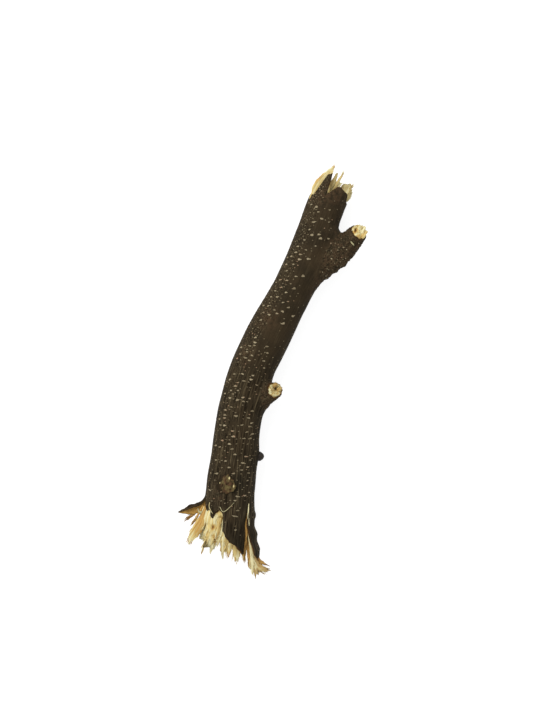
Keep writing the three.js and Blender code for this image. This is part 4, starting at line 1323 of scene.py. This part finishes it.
# Distance along, degrees round, half length, half spread in degrees, share of the pores left out
BARE_AREAS = [(-75, -12, 8, 26, 1), (24, -18, 6, 22, 1), (0, -36, 5, 20, 1), (-104, 20, 14, 30, 1)]


def pore_density(along, degrees):
    """The share of tries that are kept, from 0 to 1."""
    upper = smooth(along, -5, 15)
    left = smooth(86 - apart(degrees, -92), 0, 26)
    density = upper * (0.10 + 0.90 * left) + (1 - upper) * 0.45
    return density * (1 - areas(BARE_AREAS, along, degrees))


pores = []  # along, degrees, half size across, half size along, turn, tone
for readings, half, turn in PORE_GROUPS:
    for reading, at, round_ in zip(readings, *seen_on_stem(readings)):
        size = LARGER if reading in LARGE_PORES else rng.uniform(0.75, 1.15)
        narrow = rng.uniform(0.8, 1.1)
        pores.append((
            at, round_, half[0] * size / narrow, half[1] * size * narrow, rng.normal(turn, 9),
            rng.uniform(0.35, 1.0)))
for _ in range(SCATTERED):
    at, round_ = rng.uniform(SCATTERED_FROM, SCATTERED_TO), rng.uniform(-180, 180)
    shown = abs(round_) < SHOWN
    wide = smooth(np.array([at]), -20, 10)[0]
    across, length = (1.25, 0.5) if rng.random() > wide else (0.85, 0.65)
    size = rng.uniform(0.4, 0.66) if shown else rng.uniform(0.5, 1.1)
    turn, tone = rng.normal(5 + 20 * wide, 12), rng.uniform(0.0, 0.5 if shown else 0.9)
    if rng.random() > pore_density(np.array([at]), np.array([round_]))[0]:
        continue
    lower, upper = (torn_at(table, round_) for table in (STEM_LOWER_TEAR, STEM_UPPER_TEAR))
    if not lower + CLEAR_OF_EDGE < at < upper - CLEAR_OF_EDGE:
        continue
    if at < CRACK_TOP + 2 and apart(round_, CRACK_ROUND) < 11:
        continue
    least = NEAREST_SHOWN if shown else NEAREST_HIDDEN
    if all(np.hypot(at - p[0], np.radians(apart(round_, p[1])) * ABOUT_RADIUS) > least for p in pores):
        pores.append((at, round_, across * size, length * size, turn, tone))
print(len(pores), "pores on the stem")


# %% Pores laid on the bark
def lay_pores(name, limb, places):
    """Copies the pore model to every place on a limb's skin, as one mesh."""
    at, round_, across, length, turn, tone = np.array(places).T[:, :, None]
    round_model = np.arctan2(*pore_flat.T)
    shape = 1 + 0.20 * np.sin(3 * round_model + 37 * tone) + 0.14 * np.sin(5 * round_model + 61 * tone)
    x, y = pore_flat[:, 0] * shape * across, pore_flat[:, 1] * shape * length
    lean = np.radians(turn)
    aside, ahead = x * np.cos(lean) - y * np.sin(lean), x * np.sin(lean) + y * np.cos(lean)
    groove = 0.45 * bell(pore_flat[:, 1] / 0.3) * (1 - pore_flat[:, 0] ** 2)
    flatter = 1 - 0.75 * smooth(np.abs(round_), 40, 72)
    raised = (pore_height - groove) * PORE_RISE * np.sqrt(length * across) * flatter
    along = (at + ahead).ravel()
    degrees = (round_ + np.degrees(aside / limb.read(at.ravel())[:, 3][:, None])).ravel()
    laid = skin(limb, along, degrees, raised.ravel())
    piece = copies(name, len(places), pore_faces, laid)
    keep(piece, "grain", laid * MM)
    keep(piece, "rim", np.tile(far, len(places)))
    keep(piece, "tone", np.repeat(tone, len(pore_flat)))
    pick(piece)
    bpy.ops.object.shade_smooth()
    return piece


stem_pores = lay_pores("stem_pores", stem, pores)
side_places = [
    (rng.uniform(24, 54), rng.uniform(-180, 180), rng.uniform(0.3, 0.7), rng.uniform(0.25, 0.5),
     rng.normal(0, 40), rng.uniform(0, 1))
    for _ in range(SIDE_PORES)]
side_pores = lay_pores("side_branch_pores", side_branch, side_places)
print(len(stem_pores.data.polygons), "faces")

# %% [markdown]
# ## The scabbed knot
# Near the thick end the bark has healed over a wound in a lumpy scab. It lies flush on the left and
# stands up on the right, where its edge overhangs, and a few torn spots are bright. It could be sculpted,
# but a ball pressed onto the bark keeps to its curve: the upper half becomes the scab, inside an uneven
# rim, and the lower half is sunk in.

# %% Knot
KNOT_ALONG = -75.6
KNOT_ROUND = -10.0  # degrees
KNOT_RIM = [  # degrees from ahead to the right, distance out
    (2, 6.3), (30, 5.0), (71, 4.6), (103, 5.8), (145, 5.2), (187, 5.8), (231, 7.1), (265, 6.4), (316, 5.6),
]
KNOT_HEIGHT = 1.9
KNOT_SUNK = 1.0
# Right, ahead, half width and half length of the bright spots
TORN_SPOTS = [(1.2, 4.2, 0.35, 1.0), (3.6, -0.2, 0.25, 1.1), (-4.0, 0.6, 0.25, 0.7)]

knot, knot_share, knot_turn, _ = ball("knot_scab", 96, 80)
rim = np.sin(knot_share * math.pi)
clock = np.degrees(knot_turn)
uneven = 1 + 0.05 * np.sin(9 * knot_turn) + 0.04 * np.sin(17 * knot_turn)
reach = np.interp(clock, *zip(*KNOT_RIM), period=360) * uneven
knot_x, knot_y = reach * rim * np.sin(knot_turn), reach * rim * np.cos(knot_turn)
flat_places = np.stack([knot_x, knot_y, 0 * knot_x], axis=1)
rise = 0.12 + 0.88 * smooth(knot_x + 0.25 * knot_y, -5.5, 2.5)
steep = 3 + 11 * smooth(knot_x, -2, 3)
creases = 0.9 - 0.75 * np.abs(noise_at(flat_places, (1.4, 3.2, 1), 3.0))
creases += 0.3 * noise_at(flat_places, (0.7, 1.3, 1), 5.0)
above = KNOT_HEIGHT * rise * creases * (1 - rim**steep)
knot_raised = np.where(knot_share > 0.5, above, -KNOT_SUNK * (1 - rim))
knot_x = knot_x + 0.5 * np.clip(knot_raised, 0, None) * smooth(knot_x, 0, 4)
knot_round = KNOT_ROUND + np.degrees(knot_x / stem_radius(KNOT_ALONG + knot_y, 0 * knot_y))
knot_places = skin(stem, KNOT_ALONG + knot_y, knot_round, knot_raised)
set_places(knot, knot_places)
keep(knot, "grain", flat_places * MM)
keep(knot, "lift", np.clip(knot_raised / KNOT_HEIGHT, 0, 1))
keep(knot, "spots", sum(
    bell((flat_places[:, 0] - x) / across) * bell((flat_places[:, 1] - y) / length)
    for x, y, across, length in TORN_SPOTS))
close_and_face_out(knot)
print(knot.name, len(knot.data.polygons), "faces")

# %% [markdown]
# ## Loose fibres
# Two stray fibres lie across the bark above the break, and a sliver of pale wood shows in a nick in the
# side branch. They follow the bark too closely for a splinter's line, so each is a smooth curve with a
# round section, turned into a mesh so that it can ride with the rest.

# %% Loose fibres
# The limb, half thickness, age, and the places from root to tip: distance along, degrees round and
# height above the bark
LOOSE_FIBRES = [
    (stem, 0.22, 0.5, [
        (-87.6, -48.5, 0.3), (-89.5, -45.5, 1.1), (-91.8, -39.0, 1.3), (-93.8, -32.5, 0.9)]),
    (stem, 0.18, 1.0, [
        (-89.2, -18.5, 0.2), (-91.6, -9.5, 0.8), (-91.0, -5.0, 1.1), (-88.6, 3.5, 1.0), (-85.6, 12.0, 0.5)]),
    (side_branch, 0.4, 1.0, [
        (51.2, 2.0, -0.2), (51.0, 11.0, 0.1), (50.8, 20.0, 0.1), (50.5, 29.0, -0.2)]),
]
FIBRE_TONE = 0.1


def loose_fibre(name, limb, thick, aged, stops):
    along, degrees, raised = np.array(stops).T
    line = bpy.data.curves.new(name, "CURVE")
    line.dimensions = "3D"
    line.bevel_depth = thick * MM
    line.bevel_resolution = 2
    line.resolution_u = 8
    line.use_fill_caps = True
    spline = line.splines.new("BEZIER")
    spline.bezier_points.add(len(stops) - 1)
    for point, place in zip(spline.bezier_points, skin(limb, along, degrees, raised) * MM):
        point.co = place
        point.handle_left_type = point.handle_right_type = "AUTO"
    spline.bezier_points[-1].radius = 0.45
    fibre = bpy.data.objects.new(name, line)
    bpy.context.scene.collection.objects.link(fibre)
    pick(fibre)
    bpy.ops.object.convert(target="MESH")
    fibre = bpy.context.active_object
    close_and_face_out(fibre)
    places = np.array([vertex.co for vertex in fibre.data.vertices])
    keep(fibre, "grain", places)
    keep(fibre, "tone", np.full(len(places), FIBRE_TONE))
    keep(fibre, "aged", np.full(len(places), aged))
    return fibre


loose_fibres = [loose_fibre("loose_fibre_%d" % n, *entry) for n, entry in enumerate(LOOSE_FIBRES)]
print(len(loose_fibres), "loose fibres")

# %% [markdown]
# ## Finishes
# Each finish is a Principled shader whose colour and bump come from noise. The noise reads the stored
# straight coordinates, so the bark's fine lines and the wood's fibres run along the limb however it
# bends. Colours are written as the eye sees them, from 0 to 255, and turned into light values.

# %% Shader helpers
LIGHT = 1.62  # how much light reaches a face that looks up, against the white of the picture


def seen(red, green, blue):
    """The colour of a surface that is seen as this one when it looks up."""
    return (*[((part / 255 + 0.055) / 1.055) ** 2.4 / LIGHT for part in (red, green, blue)], 1.0)


class Finish:
    """A material whose nodes are added one by one."""

    def __init__(self, name, roughness, gloss=0.2):
        self.made = bpy.data.materials.new(name)
        self.made.use_nodes = True
        self.tree = self.made.node_tree
        self.shader = self.tree.nodes["Principled BSDF"]
        self.shader.inputs["Roughness"].default_value = roughness
        self.shader.inputs["Specular IOR Level"].default_value = gloss

    def add(self, kind, inputs, output=0, **settings):
        node = self.tree.nodes.new("ShaderNode" + kind)
        for setting, value in settings.items():
            setattr(node, setting, value)
        for socket, value in inputs.items():
            if isinstance(value, bpy.types.NodeSocket):
                self.tree.links.new(value, node.inputs[socket])
            else:
                node.inputs[socket].default_value = value
        return node.outputs[output]

    def stored(self, name, vector=False):
        return self.add("Attribute", {}, output=1 if vector else 2, attribute_name=name)

    def stretched(self, vector, scale):
        return self.add("Mapping", {0: vector, "Scale": scale}, vector_type="POINT")

    def noise(self, vector, size, detail=3.0, rough=0.55):
        """Noise whose lumps have a size in millimetres."""
        return self.add(
            "TexNoise", {"Vector": vector, "Scale": 1 / (size * MM), "Detail": detail, "Roughness": rough})

    def step(self, value, low, high):
        return self.add("MapRange", {0: value, 1: low, 2: high}, interpolation_type="SMOOTHSTEP")

    def mix(self, share, first, second, way="MIX"):
        return self.add("MixRGB", {"Fac": share, "Color1": first, "Color2": second}, blend_type=way)

    def maths(self, operation, first, second):
        return self.add("Math", {0: first, 1: second}, operation=operation)

    def times(self, first, second):
        return self.maths("MULTIPLY", first, second)

    def colour(self, value):
        self.tree.links.new(value, self.shader.inputs["Base Color"])

    def bump(self, height, depth):
        """A bump whose height is in millimetres."""
        normal = self.add("Bump", {"Height": height, "Distance": depth * MM, "Strength": 1.0})
        self.tree.links.new(normal, self.shader.inputs["Normal"])


print("black reads as", seen(0, 0, 0)[0], "and white as", round(seen(255, 255, 255)[0], 3))

# %% [markdown]
# ## The finish of the bark
# Young bark is dry and dark, and russet where it is wrinkled. Its right side is greener and darker, partly
# its own colour and partly painted shade. Paint would have to be redone when the shape changes, so noise
# gives the fine lines and specks, and values stored on the mesh say where each of them shows. Where the
# bark is torn through, its depth turns it tan.

# %% Bark
DARK_BARK = seen(50, 42, 29)
WARM_BARK = seen(62, 51, 35)
# Darker green for the right side: partly the bark's own green, partly painted shade.
GREEN_AND_SHADED_BARK = seen(40, 36, 26)
RUSSET_BARK = seen(80, 62, 44)
PALE_LINE = seen(94, 82, 60)
DARK_LINE = seen(30, 23, 13)
PALE_SPECK = seen(92, 81, 59)
INNER_BARK = seen(178, 138, 72)
TORN_BARK = seen(66, 46, 30)

bark = Finish("bark", roughness=0.78, gloss=0.04)
grain = bark.stored("grain", vector=True)
broad = bark.noise(grain, 14.0)
lines = bark.noise(bark.stretched(grain, (1, 0.07, 1)), 0.75, detail=3.0)
mottle = bark.noise(grain, 2.2, detail=4.0)
specks = bark.noise(grain, 0.62, detail=2.0)
lined, fine = bark.stored("lined"), bark.stored("fine")
base = bark.mix(bark.step(broad, 0.35, 0.65), DARK_BARK, WARM_BARK)
# Painted shade: the right side is mixed towards the darker green, partly the bark's own colour.
base = bark.mix(bark.times(bark.stored("dark"), 0.85), base, GREEN_AND_SHADED_BARK)
rusty = bark.times(bark.stored("russet"), bark.step(mottle, 0.38, 0.60))
base = bark.mix(rusty, base, RUSSET_BARK)
for marks, low, high, share, colour in (
        (lines, 0.52, 0.72, lined, PALE_LINE), (lines, 0.50, 0.34, lined, DARK_LINE),
        (specks, 0.54, 0.68, fine, PALE_SPECK), (specks, 0.47, 0.34, fine, DARK_LINE)):
    base = bark.mix(bark.times(bark.step(marks, low, high), share), base, colour)
depth = bark.stored("depth")
base = bark.mix(bark.step(depth, 0.1, 0.45), base, TORN_BARK)
base = bark.mix(bark.step(depth, 0.75, 1.0), base, INNER_BARK)
bark.colour(base)
lines_height = bark.times(lines, lined)
specks_height = bark.times(specks, fine)
bark.bump(bark.maths("ADD", bark.maths("ADD", lines_height, specks_height), mottle), 0.22)

# %% [markdown]
# ## The finish of the torn wood
# Fresh sapwood is cream, and orange to brown along some of its fibres. One tone is stored at each
# place, and noise stretched along the grain varies it. It runs through four colours from pale to brown,
# and a fifth is for greyed wood. Noise alone would break up a blade, where its own tone keeps it whole.
# Fine brown threads, darkest where the bump is low, are partly grain and partly painted shade between
# the fibres.

# %% Wood
PALE_WOOD = seen(248, 238, 186)
CREAM = seen(230, 205, 132)
ORANGE_WOOD = seen(208, 162, 84)
BROWN_WOOD = seen(124, 84, 38)
AGED_WOOD = seen(180, 176, 134)

wood = Finish("torn wood", roughness=0.62)
grain = wood.stored("grain", vector=True)
lengthwise = wood.stretched(grain, (1, 0.07, 1))
threads = wood.noise(lengthwise, 0.42, detail=3.0)
streaks = wood.noise(lengthwise, 1.6, detail=3.0)
wander = wood.times(wood.maths("SUBTRACT", streaks, 0.5), 2.2)
tone = wood.maths("ADD", wood.stored("tone"), wander)
base = PALE_WOOD
for low, high, colour in ((-0.05, 0.40, CREAM), (0.35, 0.80, ORANGE_WOOD), (0.80, 1.35, BROWN_WOOD)):
    base = wood.mix(wood.step(tone, low, high), base, colour)
base = wood.mix(wood.times(wood.stored("aged"), 0.8), base, AGED_WOOD)
# Painted shade between the fibres: brown threads where the bump is low, partly grain.
base = wood.mix(wood.times(wood.step(threads, 0.50, 0.30), 0.55), base, BROWN_WOOD)
wood.colour(base)
wood.bump(threads, 0.22)

# %% [markdown]
# ## The finish of the pores
# The cork in a pore is pale and mealy. A dark rim is painted round it as shade where it rises from the
# skin. Its tone is stored for each pore, since no two of them are alike.

# %% Pores
CORK_DARK = seen(104, 92, 70)
CORK_PALE = seen(176, 162, 132)
CORK_PINK = seen(176, 140, 112)
CORK_BROWN = seen(118, 92, 58)
PORE_RIM_SHADE = seen(38, 29, 18)

pore = Finish("corky pores", roughness=0.85, gloss=0.04)
mealy = pore.noise(pore.stored("grain", vector=True), 0.6)
blush = pore.noise(pore.stored("grain", vector=True), 4.0)
cork = pore.mix(pore.stored("tone"), CORK_DARK, CORK_PALE)
cork = pore.mix(pore.times(pore.step(blush, 0.58, 0.64), 0.7), cork, CORK_PINK)
cork = pore.mix(pore.times(pore.step(mealy, 0.5, 0.7), 0.6), cork, CORK_BROWN)
# Painted shade: a dark ring round the edge of each pore.
cork = pore.mix(pore.step(pore.stored("rim"), 0.66, 0.96), cork, PORE_RIM_SHADE)
pore.colour(cork)
pore.bump(mealy, 0.1)

# %% [markdown]
# ## The finish of the knot's scab
# The scab is olive and russet in patches, with painted shade in its creases, and it is as dark as bark
# where it lies flush. Its height is stored, so the colour can follow its edge.

# %% Knot scab
SCAB_CREASE_SHADE = seen(58, 46, 30)
SCAB_OLIVE = seen(108, 94, 60)
SCAB_RUSSET = seen(92, 66, 46)
SCAB_FLUSH = seen(46, 37, 24)
TORN_BRIGHT = seen(232, 216, 158)

scab = Finish("scab", roughness=0.8, gloss=0.04)
grain = scab.stored("grain", vector=True)
streaks = scab.noise(scab.stretched(grain, (1, 0.3, 1)), 1.1, detail=4.0)
patches = scab.noise(grain, 3.0)
crust = scab.mix(scab.step(patches, 0.42, 0.56), SCAB_RUSSET, SCAB_OLIVE)
# Painted shade: darker where the bump noise is low, in the creases.
crust = scab.mix(scab.step(streaks, 0.56, 0.36), crust, SCAB_CREASE_SHADE)
crust = scab.mix(scab.step(scab.stored("lift"), 0.30, 0.05), crust, SCAB_FLUSH)
crust = scab.mix(scab.step(scab.stored("spots"), 0.3, 0.8), crust, TORN_BRIGHT)
scab.colour(crust)
scab.bump(streaks, 0.5)

# %% [markdown]
# ## The finish of the bud
# Bud scales are almost black and a little smoother than bark. Soft spots are enough at this size.

# %% Bud scales
BUD_DARK = seen(30, 24, 18)
BUD_BROWN = seen(54, 42, 30)

scales = Finish("bud scales", roughness=0.5)
spotted = scales.noise(scales.stored("grain", vector=True), 1.2)
scales.colour(scales.mix(scales.step(spotted, 0.35, 0.7), BUD_DARK, BUD_BROWN))
scales.bump(spotted, 0.1)

# %% Each piece gets its finish
FINISHES = {
    bark: (stem_bark, side_bark, twig_bark, curl),
    wood: (
        stem_core, side_core, twig_core, lower_splinters, upper_splinters, side_splinters, twig_splinters,
        *fibre_pieces, *loose_fibres),
    scales: (bud,),
    pore: (stem_pores, side_pores),
    scab: (knot,),
}
for finish, pieces in FINISHES.items():
    for piece in pieces:
        piece.data.materials.clear()
        piece.data.materials.append(finish.made)
print(sum(len(pieces) for pieces in FINISHES.values()), "pieces finished")

# %% [markdown]
# ## Standing in for the solids
# A branch has no moving parts, so every piece rides on the one body, and each set of pieces takes the
# place of the solid that it dresses.

# %% Every piece rides on the one body
STANDS_FOR = {
    "stem_bark": (stem_bark, curl, stem_pores, knot),
    "side_branch_bark": (side_bark, side_pores),
    "twig_stub_bark": (twig_bark,),
    "stem_wood": (stem_core, lower_splinters, upper_splinters, lower_fibres, upper_fibres, *loose_fibres),
    "side_branch_wood": (side_core, side_splinters, side_fibres),
    "twig_stub_wood": (twig_core, twig_splinters, twig_fibres),
    "bud": (bud,),
}
for node, pieces in STANDS_FOR.items():
    for piece in pieces:
        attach(piece, "root")
        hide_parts(node)
